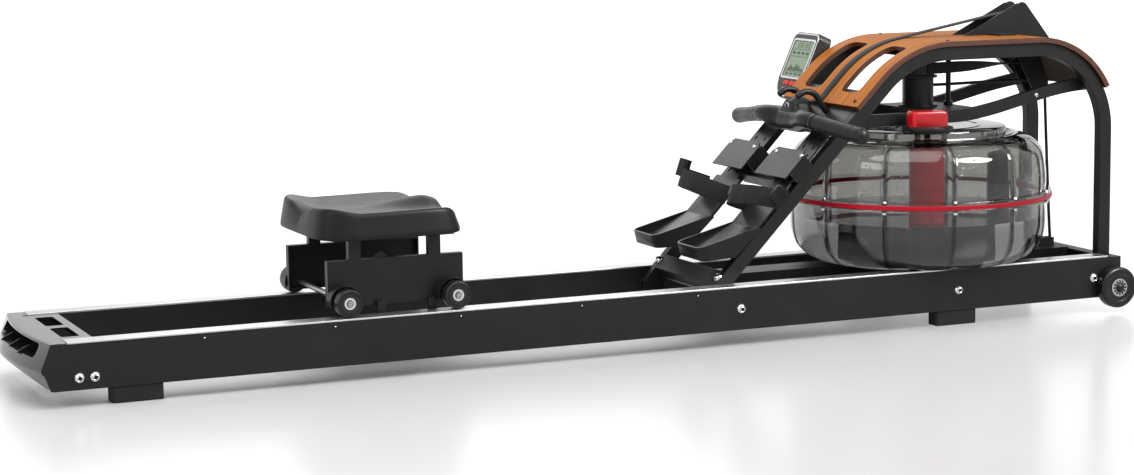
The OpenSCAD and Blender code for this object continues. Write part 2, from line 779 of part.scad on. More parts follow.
module selector_tube() {
  color([0.8, 0.1, 0.12, 0.6]) at_origin() translate([selector_x, selector_y, tank_floor + 9]) difference() {
    cylinder(h = lid_z - 23 - face_gap - tank_floor - 9, r = 33, $fn = round_n);
    translate([0, 0, 3]) cylinder(h = lid_z, r = 30, $fn = round_n);
  }
}

module filler_tube() {
  color("#2c2d30") at_tank() translate([178, -10, tank_floor + 3]) difference() {
    cylinder(h = 197, r = 22, $fn = round_n);
    translate([0, 0, 3]) cylinder(h = 200, r = 19, $fn = round_n);
  }
}

// Water with a hollow where the impeller turns
module water() {
  g = face_gap;
  color([0.75, 0.8, 0.82, 0.4]) at_tank() difference() {
    rotate_extrude($fn = 180) polygon([
      [0, tank_floor + g], [tank_in - 53, tank_floor + g], [tank_in - 44, tank_floor + 2.4],
      [tank_in - 32, track_z + 11.5], [tank_in - 23, track_z + 18.5], [tank_in - 16, track_z + 26],
      [tank_in - 9.5, track_z + 36.5], [tank_in - 5, track_z + 50], [tank_in - 2, track_z + 64],
      [tank_in - 1, track_z + 78], [tank_in - 1, water_top], [0, water_top]
    ]);
    translate([0, 0, blade_z - 4]) cylinder(h = blade_h + 8, r = impeller_r + 2, $fn = round_n);
    cylinder(h = 400, r = shaft_r + 1, $fn = round_n);
    translate([selector_x - tank_x, selector_y, 0]) cylinder(h = 400, r = 33 + g, $fn = round_n);
    translate([178, -10, 0]) cylinder(h = 400, r = 22 + g, $fn = round_n);
  }
}

module selector_knob() {
  color("#d01a20") at_origin() translate([selector_x, selector_y, 0]) {
    translate([0, 0, lid_z + face_gap]) cylinder(h = 6, r = selector_r, $fn = 96);
    translate([0, 0, lid_z + face_gap + 5.5]) linear_extrude(29) rotate(35) rrect(selector_len, 30, 7);
    translate([0, 0, lid_z - 19]) cylinder(h = 20, r = selector_pin_r, $fn = round_n);
  }
}

module drum() {
  color("#232326") at_tank() difference() {
    rotate_extrude($fn = 120) polygon([
      [0, drum_z], [37, drum_z], [37, drum_z + 4], [30, drum_z + 4], [30, spool_z - 6], [37, spool_z - 5],
      [37, spool_z - 1], [spool_r, spool_z], [spool_r, spool_top - 2], [spool_r + 5, spool_top - 1],
      [spool_r + 5, spool_top + 1], [shaft_r + 2, spool_top + 1], [shaft_r + 2, top_plate_z + sheet_t], [0, top_plate_z + sheet_t]
    ]);
    translate([0, 0, drum_z - 1]) cylinder(h = 41, r = shaft_r + run_gap, $fn = round_n);
  }
}

module impeller() {
  color("#a9adb2") at_tank() {
    translate([0, 0, blade_z]) cylinder(h = drum_z + 38 - blade_z, r = shaft_r, $fn = round_n);
    translate([0, 0, blade_z]) cylinder(h = blade_h, r = 15, $fn = round_n);
    for (i = [0:5]) rotate([0, 0, 60 * i]) translate([10, -1.5, blade_z]) cube([impeller_r - 10, 3, blade_h]);
  }
}

// Grooved or flanged pulley with its axis across the machine
module pulley(c, r, w, rim) {
  translate([c[0], 0, c[1]]) rotate([90, 0, 0]) difference() {
    rotate_extrude($fn = 96) polygon([
      [0, -w / 2], [r + rim, -w / 2], [r + rim, -w / 2 + 1], [r, -w / 2 + min(w / 2, rim)],
      [r, w / 2 - min(w / 2, rim)], [r + rim, w / 2 - 1], [r + rim, w / 2], [0, w / 2]
    ]);
    cylinder(h = w + 2, r = pin_d / 2 + run_gap, center = true, $fn = round_n);
  }
}

module horn_pulley() {
  color("#3d3f43") at_origin() pulley(horn_c, pulley_r, belt_w + 8, 2);
}

module belt_idler() {
  color("#3d3f43") at_origin() pulley(idler_c, pulley_r, belt_w + 5, 2);
}

module cord_idler() {
  color("#3d3f43") at_origin() pulley(cord_c, cord_pulley_r, 12, 4);
}

module cord_foot_idler() {
  color("#3d3f43") at_origin() pulley(cord_foot_c, cord_pulley_r, 12, 4);
}

// Belt rings: middle point, way and width direction
function belt_ring(p, t, w) =
  let(h = unit(cross(t, w)), a = w * belt_w / 2, b = h * belt_t / 2) [p - a - b, p + a - b, p + a + b, p - a + b];

module drive_belt() {
  flat_line = concat(
    [[clip_x, arch_z - 102.4], [clip_x + 14, arch_z - 101]],
    [on_leg(leg_u - 61, wood_t + belt_off), on_leg(leg_u - 30, wood_t + belt_off)],
    arc_points(rear_c, belt_bend, 90 + leg_slope, lift_a, 7),
    arc_points(horn_c, belt_run, lift_a, drop_a, 9),
    arc_points(idler_c, belt_run, drop_a, -90, 11)
  );
  x0 = idler_c[0] - 44;
  x1 = tank_x + 4;
  twist_n = 14;
  flat_pts = [for (p = flat_line) side_point(p)];
  twist_pts = [for (i = [0:twist_n]) let(t = i / twist_n)
    [x0 + (x1 - x0) * t, -belt_spool * t, belt_z]];
  pts = concat(flat_pts, twist_pts);
  n0 = len(flat_pts);
  color("#2a2a2c") at_origin() loft([for (i = [0:len(pts) - 1])
    let(t = way(pts, i), q = i < n0 ? 0 : 90 * ease((i - n0) / (twist_n - 3)),
        s = unit(cross([0, 0, 1], t)), side = i < n0 ? [0, 1, 0] : -s)
    belt_ring(pts[i], t, side * cos(q) + [0, 0, 1] * sin(q))]);
}

module recoil_cord() {
  color("#101012") at_tank() tube(cord_route, cord_d / 2, 10);
}

// Channel section side plate, open towards the middle
module side_plate() {
  x0 = seat_x + 1 - plate_len / 2;
  difference() {
    translate([x0, -plate_y, plate_z]) cube([plate_len, plate_fold, plate_h]);
    translate([x0 + sheet_t, -plate_y + sheet_t, plate_z + sheet_t])
      cube([plate_len - 2 * sheet_t, plate_fold, plate_h - 2 * sheet_t]);
    for (x = [-1, 1]) translate([seat_x + x * axle_gap / 2, -plate_y + 20, roller_z]) rotate([90, 0, 0])
      cylinder(h = 40, r = axle_d / 2 + run_gap, $fn = round_n);
  }
}

module carriage() {
  top = plate_z + plate_h;
  color("#2e2f31") at_origin() {
    both_sides() {
      side_plate();
      for (x = [-73, 73]) translate([seat_x + x - 11, -plate_y, top - 1])
        cube([22, plate_fold, pad_z - sheet_t - top + 1.5]);
      for (x = [-30, 63]) translate([seat_x + x - 7, -plate_y - 12, track_z - 12]) cube([14, 9, 26]);
      for (x = [-30, 63]) translate([seat_x + x - 7, -plate_y - 12, plate_z + 0.5]) cube([14, 13, 6]);
      translate([seat_x - 25, -plate_y + plate_fold / 2, top - 0.5]) rotate([90, 0, 0])
        cylinder(h = sheet_t, r = 11, $fn = 48);
      for (x = [-1, 1]) translate([seat_x + x * axle_gap / 2, -plate_y + 1, roller_z]) rotate([90, 0, 0])
        difference() {
          cylinder(h = 24, r = roller_r + 4, $fn = round_n);
          translate([0, 0, -1]) cylinder(h = 30, r = roller_r + 2, $fn = round_n);
          translate([-60, -60, -1]) cube([120, 52, 30]);
        }
    }
    translate([seat_x - 110, -plate_y, pad_z - sheet_t]) cube([220, 2 * plate_y, sheet_t - face_gap]);
  }
}

module axles() {
  color("#6c6f73") at_origin() for (x = [-1, 1]) translate([seat_x + x * axle_gap / 2, 0, roller_z])
    rotate([90, 0, 0]) cylinder(h = 2 * rail_mid + roller_w + 6, d = axle_d, center = true, $fn = round_n);
}

module roller(x, side) {
  translate([seat_x + x * axle_gap / 2, side * rail_mid, roller_z]) rotate([90, 0, 0]) difference() {
    rotate_extrude($fn = 96) polygon([
      [0, -roller_w / 2], [roller_r - 2, -roller_w / 2], [roller_r, -roller_w / 2 + 2],
      [roller_r, roller_w / 2 - 2], [roller_r - 2, roller_w / 2], [0, roller_w / 2]
    ]);
    cylinder(h = roller_w + 2, r = axle_d / 2 + run_gap, center = true, $fn = round_n);
  }
}

module roller_rear_near() {
  color("#4a4b4e") at_origin() roller(-1, -1);
}

module roller_rear_far() {
  color("#4a4b4e") at_origin() roller(-1, 1);
}

module roller_front_near() {
  color("#4a4b4e") at_origin() roller(1, -1);
}

module roller_front_far() {
  color("#4a4b4e") at_origin() roller(1, 1);
}

// Height of the pad's top above its underside: raised rear and rims, a front ridge, two channels
function pad_top(x, y) =
  let(u = 2 * x / pad_len, v = 2 * y / pad_w, front = ease((u + 0.3) / 1.1))
  pad_t + 17 * pow(min(0, u), 2) + 5 * v * v + 5 * pow(max(0, u), 2) * v * v
  + 15 * front * exp(-pow(y / 32, 2)) - 3 * front * exp(-pow((abs(y) - 66) / 30, 2))
  - 9 * ease((u - 0.75) / 0.3);

// Outline of the pad at one height: rounded corners and drawn-in long sides
function pad_edge(a, k) =
  let(c = cos(a), s = sin(a), m = pow(pow(abs(c), 7) + pow(abs(s), 7), -1 / 7))
  [k * pad_len / 2 * c * m, k * pad_w / 2 * s * m * (1 - 0.02 * cos(2 * a))];

function pad_ring(k, drop, z) = [for (i = [0:55])
  let(p = pad_edge(360 * i / 56, k)) [p[0], p[1], z >= 0 ? z : pad_top(p[0], p[1]) - drop]];

module seat_pad() {
  color("#4b4847") at_origin() translate([seat_x - 5, 0, pad_z]) loft([
    pad_ring(0.955, 0, 0), pad_ring(0.99, 0, 2.5), pad_ring(1, 0, 7), pad_ring(0.975, 12, -1),
    pad_ring(0.96, 6, -1), pad_ring(0.94, 2.2, -1), pad_ring(0.91, 0.4, -1), pad_ring(0.86, 0, -1),
    pad_ring(0.76, 0, -1), pad_ring(0.65, 0, -1), pad_ring(0.54, 0, -1), pad_ring(0.43, 0, -1),
    pad_ring(0.32, 0, -1), pad_ring(0.21, 0, -1), pad_ring(0.1, 0, -1), pad_ring(0.01, 0, -1)
  ]);
}

// Raised plates under the balls of the feet, with their cheeks and guides
module toe_plates() {
  color("#8e8f90") at_origin() on_slope() both_sides() {
    difference() {
      translate([230, -foot_y - 53, 31]) cube([65, 120, sheet_t]);
      for (y = [-foot_y - 53, -foot_y + 67]) translate([295, y, 30]) rotate(45) cube([16, 16, 10], center = true);
    }
    translate([245, -foot_y - 39, 0]) cube([45, sheet_t, 31.5]);
    translate([245, -foot_y + 64, 0]) cube([45, sheet_t, 31.5]);
    translate([245, -foot_y - slide_w / 2, 0]) cube([40, slide_w, heel_lift - face_gap]);
    translate([245, -foot_y, 0]) cube([6, 65, 4]);
  }
}

// Foot rest that slides up the slope: slotted strip, heel plate and heel cup
module heel() {
  top = heel_lift + sheet_t;
  u1 = 220;
  u0 = u1 - heel_len;
  tilt = 31.3;
  on_slope() translate([0, -foot_y, 0]) {
    translate([u0, -heel_w / 2, heel_lift]) cube([heel_len, heel_w, sheet_t]);
    difference() {
      translate([u1 - 1, -slide_w / 2, heel_lift]) cube([slide_len + 1, slide_w, sheet_t]);
      for (i = [0:6], y = [-17.5, 17.5]) translate([u1 + 16 + notch_gap * i, y, heel_lift - 1])
        linear_extrude(sheet_t + 2) rrect(10, 5.4, 2.6);
    }
    intersection() {
      slab(-heel_w / 2, heel_w / 2) polygon([
        [u0 + 10, top - 0.5], [23.5, top + 64], [12, top + 41], [60, top - 4], [u0 + 10, top - 8]
      ]);
      translate([23, 0, top + 63]) rotate([0, tilt, 0]) translate([0, 0, -90]) linear_extrude(91) difference() {
        translate([100, 0]) rrect(200, heel_w, 16);
        translate([100 + sheet_t, 0]) rrect(200, heel_w - 2 * sheet_t, 13);
      }
    }
    intersection() {
      slab(-heel_w / 2 + 1, heel_w / 2 - 1) polygon([
        [u0 + 4, top], [u0 + 4, heel_lift], [14, top + 43], [14, top + 46]
      ]);
      translate([23, 0, top + 63]) rotate([0, tilt, 0]) translate([0, 0, -90]) linear_extrude(91)
        translate([101, 0]) rrect(200, heel_w - 2, 15);
    }
  }
}

module heel_near() {
  color("#2b2c2e") at_origin() heel();
}

module heel_far() {
  color("#2b2c2e") at_origin() mirror([0, 1, 0]) heel();
}

// Strap over the foot: band, with its buckle at the outer end
function strap_point(a, w, h) = [w * sign(cos(a)) * pow(abs(cos(a)), 0.75), h * pow(sin(a), 0.7)];

module strap(rise, buckle) {
  top = heel_lift + sheet_t;
  half = heel_w / 2 + 1.5;
  on_slope() translate([0, -foot_y - 1.5, 0]) {
    translate([203, 0, 0]) rotate([90, 0, -90]) linear_extrude(38) polygon(concat(
      [for (i = [0:20]) strap_point(9 * i, half, rise) + [0, top]],
      [for (i = [0:20]) strap_point(180 - 9 * i, half - 3, rise - 3) + [0, top]]
    ));
    translate([169, -half - 3.5, top + buckle]) cube([30, 6.5, 20]);
  }
}

module strap_near() {
  color("#232426") at_origin() strap(44, 8);
}

module strap_far() {
  color("#232426") at_origin() mirror([0, 1, 0]) strap(50, 24);
}

module handle() {
  end = grip_in - 1.5 * grip_dir;
  color("#2c2d2f") at_origin() {
    hull() {
      for (y = [-20, 20]) translate([handle_x, y, arch_z - 136]) sphere(17, $fn = 32);
      for (y = [-14, 14]) translate([handle_x + 3, y, arch_z - 108]) sphere(13, $fn = 32);
    }
    both_sides_far() {
      hull() {
        translate([handle_x, 22, arch_z - 135]) sphere(17, $fn = 32);
        translate([handle_x - 3, 50, arch_z - 128]) sphere(17.5, $fn = 32);
        along(end, grip_dir) cylinder(h = 1.5, r = grip_r + 0.5, $fn = 32);
      }
      along(grip_in - grip_dir, grip_dir) cylinder(h = 132, r = grip_r - 6, $fn = round_n);
    }
    translate([handle_x + 9, -8, arch_z - 105]) cube([clip_x - face_gap - handle_x - 9, 16, 6]);
  }
}

module both_sides_far() {
  for (m = [0, 1]) mirror([0, m, 0]) children();
}

module grips() {
  len_g = (handle_half - grip_in[1]) / grip_dir[1] - grip_r + 1;
  color("#1d1e20") at_origin() both_sides_far() along(grip_in, grip_dir) difference() {
    union() {
      cylinder(h = len_g, r = grip_r, $fn = round_n);
      translate([0, 0, len_g]) sphere(grip_r, $fn = round_n);
    }
    translate([0, 0, -1]) cylinder(h = 132.5, r = grip_r - 6 + run_gap, $fn = round_n);
  }
}

module wheel() {
  y1 = rail_out + 2;
  translate([wheel_x, -y1, wheel_z]) rotate([90, 0, 0]) difference() {
    rotate_extrude($fn = 120) polygon([
      [0, 0], [wheel_r - 3, 0], [wheel_r, 3], [wheel_r, wheel_w - 3], [wheel_r - 3, wheel_w],
      [wheel_r - 15, wheel_w], [wheel_r - 16, wheel_w - 2], [0, wheel_w - 2]
    ]);
    translate([0, 0, -1]) cylinder(h = wheel_w + 2, r = wheel_bolt_r + run_gap, $fn = round_n);
    for (i = [0:11]) rotate([0, 0, 30 * i]) translate([16, 0, wheel_w - 8]) cylinder(h = 10, d = 5, $fn = 24);
  }
}

module wheel_near() {
  color("#242527") at_origin() wheel();
}

module wheel_far() {
  color("#242527") at_origin() mirror([0, 1, 0]) wheel();
}

module wheel_axles() {
  y0 = rail_in - 5;
  y1 = rail_out + 2 + wheel_w;
  color("#3a3b3e") at_origin() both_sides() translate([wheel_x, 0, wheel_z]) rotate([90, 0, 0]) {
    translate([0, 0, y0]) cylinder(h = y1 + 1 - y0, r = wheel_bolt_r, $fn = round_n);
    translate([0, 0, y0]) cylinder(h = 5, r = 9, $fn = round_n);
    translate([0, 0, rail_out]) cylinder(h = 2 - face_gap, r = 9, $fn = round_n);
    translate([0, 0, y1 + face_gap]) dome(18, 5);
  }
}

module console_arm() {
  color("#202123") at_origin() translate([hinge_p[0], arch_out, hinge_p[1]]) rotate([-90, 0, 0]) {
    cylinder(h = console_y - arch_out + 16, r = arm_r, $fn = round_n);
    cylinder(h = 5, r = 12, $fn = round_n);
  }
}

// Frame with X into the console from its face and Z up the face
module on_console() {
  at_origin() translate([hinge_p[0], console_y, hinge_p[1]]) rotate([0, console_lean, 0])
    translate([-hinge_x, 0, -hinge_up]) children();
}

module face_slab(x0, x1) {
  translate([x0, 0, 0]) rotate([90, 0, 90]) linear_extrude(x1 - x0) children();
}

// Outline with small round corners above and large ones below
module console_outline(w, h) {
  r = 14;
  b = 40;
  for (s = [-1, 1]) {
    translate([s * (w / 2 - r), h / 2 - r]) circle(r, $fn = 48);
    translate([s * (w / 2 - b), -h / 2 + b]) circle(b, $fn = 64);
  }
  translate([-w / 2 + r, -h / 2 + b]) square([w - 2 * r, h - b]);
  translate([-w / 2, -h / 2 + b]) square([w, h - b - r]);
  translate([-w / 2 + b, -h / 2]) square([w - 2 * b, b]);
}

red_key = [20, 9, -38];
grey_key = [18, 8, -52];

module key_shape(k, s, grow) {
  translate([s * (k[0] / 2 + 2), k[2]]) rrect(k[0] + 2 * grow, k[1] + 2 * grow, 3);
}

module console() {
  color("#2d2e31") on_console() difference() {
    union() {
      face_slab(2, console_t) console_outline(console_w, console_h);
      face_slab(0, 2.5) console_outline(console_w - 5, console_h - 5);
      translate([console_t - 1, -12, hinge_up - arm_r - 4])
        cube([hinge_x + arm_r + 4 - console_t + 1, 24, 2 * arm_r + 8]);
    }
    translate([-1, -39, -24]) cube([2.2, 78, 74]);
    for (s = [-1, 1]) {
      face_slab(-1, 6.5) key_shape(red_key, s, face_gap);
      face_slab(-1, 6.5) key_shape(grey_key, s, face_gap);
    }
    translate([hinge_x, 0, hinge_up]) rotate([90, 0, 0])
      cylinder(h = 60, r = arm_r + run_gap, center = true, $fn = round_n);
  }
}

module key(k, s) {
  on_console() face_slab(-2, 4.5) key_shape(k, s, 0);
}

module key_red_left() {
  color("#c8261f") key(red_key, 1);
}

module key_red_right() {
  color("#c8261f") key(red_key, -1);
}

module key_grey_left() {
  color("#8f9396") key(grey_key, 1);
}

module key_grey_right() {
  color("#8f9396") key(grey_key, -1);
}

rail_near();
rail_far();
running_strips();
end_cap();
cap_tray();
feet();
cross_members();
centre_beam();
frame_bolts();
arch_near();
arch_far();
leg_crossbars();
hook_plate();
handle_hooks();
wood_panel();
bearing_beams();
top_plate();
lower_plate();
tie_rod();
horn_plates();
idler_frame();
tank_lower();
tank_upper();
tank_seal();
tank_bolts();
selector_tube();
filler_tube();
water();
selector_knob();
drum();
impeller();
horn_pulley();
belt_idler();
cord_idler();
cord_foot_idler();
drive_belt();
recoil_cord();
carriage();
seat_pad();
axles();
roller_rear_near();
roller_rear_far();
roller_front_near();
roller_front_far();
toe_plates();
heel_near();
heel_far();
strap_near();
strap_far();
handle();
grips();
wheel_near();
wheel_far();
wheel_axles();
console_arm();
console();
key_red_left();
key_red_right();
key_grey_left();
key_grey_right();
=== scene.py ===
# %% [markdown]
# # A water rowing machine
# The machine's solids were drawn as an assembly of separate parts, in millimetres, and packed as
# a fixed frame. This notebook keeps every place and size of that frame and works on what the eye
# sees: rounded edges, moulded forms, wood grain, webbing, smoked plastic and water. A piece that
# the solids already show well is copied and its edges are rounded. A piece that needs more is
# worked out again with numpy and stands for the solid it replaces.

# %% Load the machine's solids
import json
import math

import bmesh
import bpy
import numpy as np
from mathutils import Matrix

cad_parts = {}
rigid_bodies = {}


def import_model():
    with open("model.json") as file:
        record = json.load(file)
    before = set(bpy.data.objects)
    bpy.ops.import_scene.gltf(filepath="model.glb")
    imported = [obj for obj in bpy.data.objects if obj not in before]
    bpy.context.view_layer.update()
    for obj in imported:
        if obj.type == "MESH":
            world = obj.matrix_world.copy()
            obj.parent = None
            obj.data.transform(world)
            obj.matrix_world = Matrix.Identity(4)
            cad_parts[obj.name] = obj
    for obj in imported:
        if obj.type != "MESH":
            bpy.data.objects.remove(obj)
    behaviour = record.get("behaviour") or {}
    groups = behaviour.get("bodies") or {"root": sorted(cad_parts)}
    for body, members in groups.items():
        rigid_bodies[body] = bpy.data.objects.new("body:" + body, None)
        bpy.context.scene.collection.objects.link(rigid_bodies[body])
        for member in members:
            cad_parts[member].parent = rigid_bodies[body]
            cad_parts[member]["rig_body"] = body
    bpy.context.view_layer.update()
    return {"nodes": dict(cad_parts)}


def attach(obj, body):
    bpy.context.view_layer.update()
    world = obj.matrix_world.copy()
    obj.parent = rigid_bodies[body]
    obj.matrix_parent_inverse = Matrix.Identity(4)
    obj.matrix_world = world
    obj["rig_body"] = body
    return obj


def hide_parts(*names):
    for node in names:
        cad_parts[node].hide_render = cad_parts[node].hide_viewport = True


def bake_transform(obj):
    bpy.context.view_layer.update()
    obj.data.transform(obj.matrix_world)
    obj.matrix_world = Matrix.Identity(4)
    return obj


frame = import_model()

# %% [markdown]
# ## Measures
# The drawing measures along the rails from their rear end, in millimetres, and the frame is in
# metres with its origin under the middle. One function takes a place from the first to the
# second. The leg of the arch slopes, so pieces on it are placed in the leg's own directions.

# %% Places in the drawing and in the frame
MIDDLE_X, RAIL_LENGTH, RAIL_SIDE = 1027.25, 2080.0, 172.0
TRACK, ARCH_TOP, LEG_SLOPE = 108.0, 522.0, math.radians(45.6)
REAR_BEND_AT, REAR_BEND = np.array([1712.0, 320.0]), 202.0
FRONT_BEND_AT, FRONT_BEND = np.array([1908.5, 350.5]), 171.5
TANK_X = 1727.0
LEG_UP = np.array([math.cos(LEG_SLOPE), math.sin(LEG_SLOPE)])
LEG_OFF = np.array([-math.sin(LEG_SLOPE), math.cos(LEG_SLOPE)])
LEG_LENGTH = (REAR_BEND_AT[1] + REAR_BEND * LEG_OFF[1] - TRACK) / LEG_UP[1]
LEG_FOOT = REAR_BEND_AT + REAR_BEND * LEG_OFF - LEG_LENGTH * LEG_UP
NEAR_AND_FAR = (("near", -1), ("far", 1))


def place(x, y, z):
    """Points in metres in the frame, from millimetres along, across and up in the drawing."""
    x, y, z = np.broadcast_arrays(x, y, z)
    return np.stack([x - MIDDLE_X, y, z], -1) / 1000


def slope_xz(u, n):
    """Millimetres along and up, for u up the leg and n out of its upper face."""
    return (LEG_FOOT[0] + u * LEG_UP[0] + n * LEG_OFF[0],
            LEG_FOOT[1] + u * LEG_UP[1] + n * LEG_OFF[1])


def on_leg(u, y, n):
    """Points in the frame for u up the leg, y across and n out of its upper face."""
    x, z = slope_xz(u, n)
    return place(x, y, z)


print("leg foot at", np.round(LEG_FOOT, 1), "leg length", round(LEG_LENGTH, 1))

# %% [markdown]
# ## Camera
# The photograph was taken from low behind the seat, with a long lens. Its place and turn were
# worked out from the directions of the rails and posts, so the render has the same outline as
# the photograph. A camera looks along its own minus Z, so its three axes are written straight
# into its matrix.

# %% The camera
CAMERA_AT = (-1.90023, -4.30023, 0.85521)
CAMERA_YAW, CAMERA_PITCH, CAMERA_ROLL = 0.4084, -0.1402, -0.0129
FOCAL_PIXELS, PICTURE_WIDTH, SENSOR = 2594.04, 1134, 36.0
scene = bpy.context.scene


def look(yaw, pitch, roll):
    """Right, up and backward: yaw from +Y towards +X, pitch above level, roll about the view."""
    forward = np.array([math.sin(yaw) * math.cos(pitch), math.cos(yaw) * math.cos(pitch),
                        math.sin(pitch)])
    right = np.array([math.cos(yaw), -math.sin(yaw), 0.0])
    up = np.cross(right, forward)
    return (math.cos(roll) * right + math.sin(roll) * up,
            math.cos(roll) * up - math.sin(roll) * right, -forward)


def put(name, data, axes=None, at=(0, 0, 0)):
    """A new object in the scene, with its three axes and its place written into its matrix."""
    made = bpy.data.objects.new(name, data)
    if axes is not None:
        matrix = np.eye(4)
        matrix[:3, :3], matrix[:3, 3] = np.stack(axes, 1), at
        made.matrix_world = Matrix(matrix.tolist())
    scene.collection.objects.link(made)
    return made


camera = put("camera", bpy.data.cameras.new("camera"),
             look(CAMERA_YAW, CAMERA_PITCH, CAMERA_ROLL), CAMERA_AT)
camera.data.sensor_width, camera.data.lens = SENSOR, SENSOR * FOCAL_PIXELS / PICTURE_WIDTH
camera.data.clip_start, camera.data.clip_end = 0.05, 60.0
scene.camera = camera
print("lens", round(camera.data.lens, 2), "mm")

# %% [markdown]
# ## Studio
# The floor and the world are plain white, and broad lamps stand above and at the left, so that
# dark paint keeps soft gradients. The world lights matt surfaces with less than it shows to the
# camera, to mirrors and to glass. One more lamp is seen by mirrors alone, and makes the bright
# patch on the shoulder of the tank.

# %% World and lamps
scene.view_settings.view_transform = "Standard"
SKY_LIGHT = 0.62


def new_node(tree, kind, values=(), **settings):
    """Adds a node: settings are its own properties, and values go to its inputs or link to them."""
    node = tree.nodes.new(kind)
    for key, value in settings.items():
        setattr(node, key, value)
    for key, value in dict(values).items():
        if isinstance(value, bpy.types.NodeSocket):
            tree.links.new(value, node.inputs[key])
        else:
            node.inputs[key].default_value = value
    return node


def add_maths(tree, kind, a, b=0.0):
    """One arithmetic step between two values or outputs."""
    return new_node(tree, "ShaderNodeMath", {0: a, 1: b}, operation=kind).outputs[0]


world = bpy.data.worlds.new("studio")
scene.world = world
world.use_nodes = True
sky = world.node_tree
rays = new_node(sky, "ShaderNodeLightPath").outputs
mirrored = add_maths(sky, "MAXIMUM", rays["Is Glossy Ray"], rays["Is Transmission Ray"])
shown = add_maths(sky, "MAXIMUM", rays["Is Camera Ray"], mirrored)
strength = add_maths(sky, "ADD", SKY_LIGHT, add_maths(sky, "MULTIPLY", shown, 1 - SKY_LIGHT))
sky.nodes["Background"].inputs["Color"].default_value = (1, 1, 1, 1)
sky.links.new(strength, sky.nodes["Background"].inputs["Strength"])


def add_lamp(name, at, aim, size, power):
    """A square lamp at one place that faces another, in metres and watts."""
    lamp = bpy.data.lights.new(name, "AREA")
    lamp.size, lamp.energy = size, power
    backward = np.array(at, float) - np.array(aim, float)
    backward /= np.linalg.norm(backward)
    right = np.cross((0, 0, 1), backward)
    right /= np.linalg.norm(right)
    return put(name, lamp, (right, np.cross(backward, right), backward), at)


glint = add_lamp("lamp_glint", (1.9, -2.15, 2.25), (0.67, -0.235, 0.32), 1.7, 240)
glint.data.shape, glint.data.size_y = "ELLIPSE", 1.7
glint.visible_diffuse = glint.visible_transmission = False
add_lamp("lamp_above", (-0.4, -0.8, 3.0), (0, 0, 0.1), 2.6, 62)
add_lamp("lamp_left", (-3.2, -1.2, 1.8), (0, 0, 0.3), 1.6, 30)
add_lamp("lamp_behind", (0.8, 3.0, 2.2), (0, 0, 0.3), 2.0, 26)
print(len(bpy.data.lights), "lamps")

# %% [markdown]
# ## Helpers for shapes
# Every new surface is a grid of points worked out as whole arrays: rings of a profile turned
# round an axis, or a profile carried along a path. The faces join neighbours on the grid. A shape
# is a pair: its points, and its faces as point numbers.

# %% Shapes from grids


def unit(v):
    """Vectors scaled to length one."""
    v = np.asarray(v, float)
    return v / np.linalg.norm(v, axis=-1, keepdims=True)


def ease(t):
    """Smooth step from 0 to 1: three times the square less twice the cube."""
    t = np.clip(t, 0, 1)
    return t * t * (3 - 2 * t)


def grid_faces(rows, columns, close_rows=False, close_columns=False):
    """Quads of a grid: each joins rows i and i + 1 and columns j and j + 1."""
    i, j = np.meshgrid(np.arange(rows if close_rows else rows - 1),
                       np.arange(columns if close_columns else columns - 1), indexing="ij")
    k, m = (i + 1) % rows, (j + 1) % columns
    quads = np.stack([i * columns + j, k * columns + j, k * columns + m, i * columns + m], -1)
    return quads.reshape(-1, 4).tolist()


def loft(rings):
    """A closed shape: rings joined into a tube, and one flat face at each end."""
    rings = np.asarray(rings)
    rows, columns = rings.shape[:2]
    ends = [list(range(columns)), list(range((rows - 1) * columns, rows * columns))]
    return rings, grid_faces(rows, columns, close_columns=True) + ends


def loop(rings):
    """A shape that closes on itself both ways, like a tyre."""
    return rings, grid_faces(*rings.shape[:2], True, True)


def revolve(profile, sides, centre, axis=(0, 0, 1)):
    """Profile points (radius, height) in millimetres at every angle round an axis in the frame."""
    profile = np.asarray(profile, float) / 1000
    axis = unit(axis)
    zero = (1, 0, 0) if abs(axis[0]) < 0.5 else (0, 0, 1)
    first = unit(np.asarray(zero, float) - np.dot(zero, axis) * axis)
    second = np.cross(axis, first)
    a = np.linspace(0, 2 * math.pi, sides, endpoint=False)[None, :, None]
    out = np.cos(a) * first + np.sin(a) * second
    return np.asarray(centre) + profile[:, None, :1] * out + profile[:, None, 1:] * axis


def turned(profile, sides, centre, axis=(0, 0, 1)):
    """The shape of a profile that starts and ends on its axis."""
    return (revolve(profile, sides, centre, axis),
            grid_faces(len(profile), sides, close_columns=True))


def smooth_path(points, per_span):
    """Catmull-Rom curve: a cubic in each span, leaving each point along its neighbours' chord."""
    p = np.asarray(points, float)
    p = np.vstack([2 * p[:1] - p[1:2], p, 2 * p[-1:] - p[-2:-1]])
    a, b, c, d = p[:-3, None], p[1:-2, None], p[2:-1, None], p[3:, None]
    t = np.linspace(0, 1, per_span, endpoint=False)[None, :, None]
    curve = b + 0.5 * t * (c - a + t * (2 * a - 5 * b + 4 * c - d + t * (3 * b - a - 3 * c + d)))
    return np.vstack([curve.reshape(-1, p.shape[1]), p[-2:-1]])


def path_length(path):
    """Length of a line of points."""
    return float(np.linalg.norm(np.diff(path, axis=0), axis=1).sum())


def sweep(path, profile, side):
    """Profile (a, b) carried along a path: a goes along the side direction, b along way x side."""
    path = np.asarray(path, float)
    way = unit(np.gradient(path, axis=0))
    side = np.broadcast_to(np.asarray(side, float), path.shape)
    side = unit(side - np.sum(side * way, 1, keepdims=True) * way)
    up = np.cross(way, side)
    profile = np.asarray(profile, float) / 1000
    return path[:, None] + profile[..., :1] * side[:, None] + profile[..., 1:] * up[:, None]


def circle(radius, sides):
    """Points of a circle: its radius times the cosine and the sine of each angle."""
    a = np.linspace(0, 2 * math.pi, sides, endpoint=False)
    return np.stack([radius * np.cos(a), radius * np.sin(a)], 1)


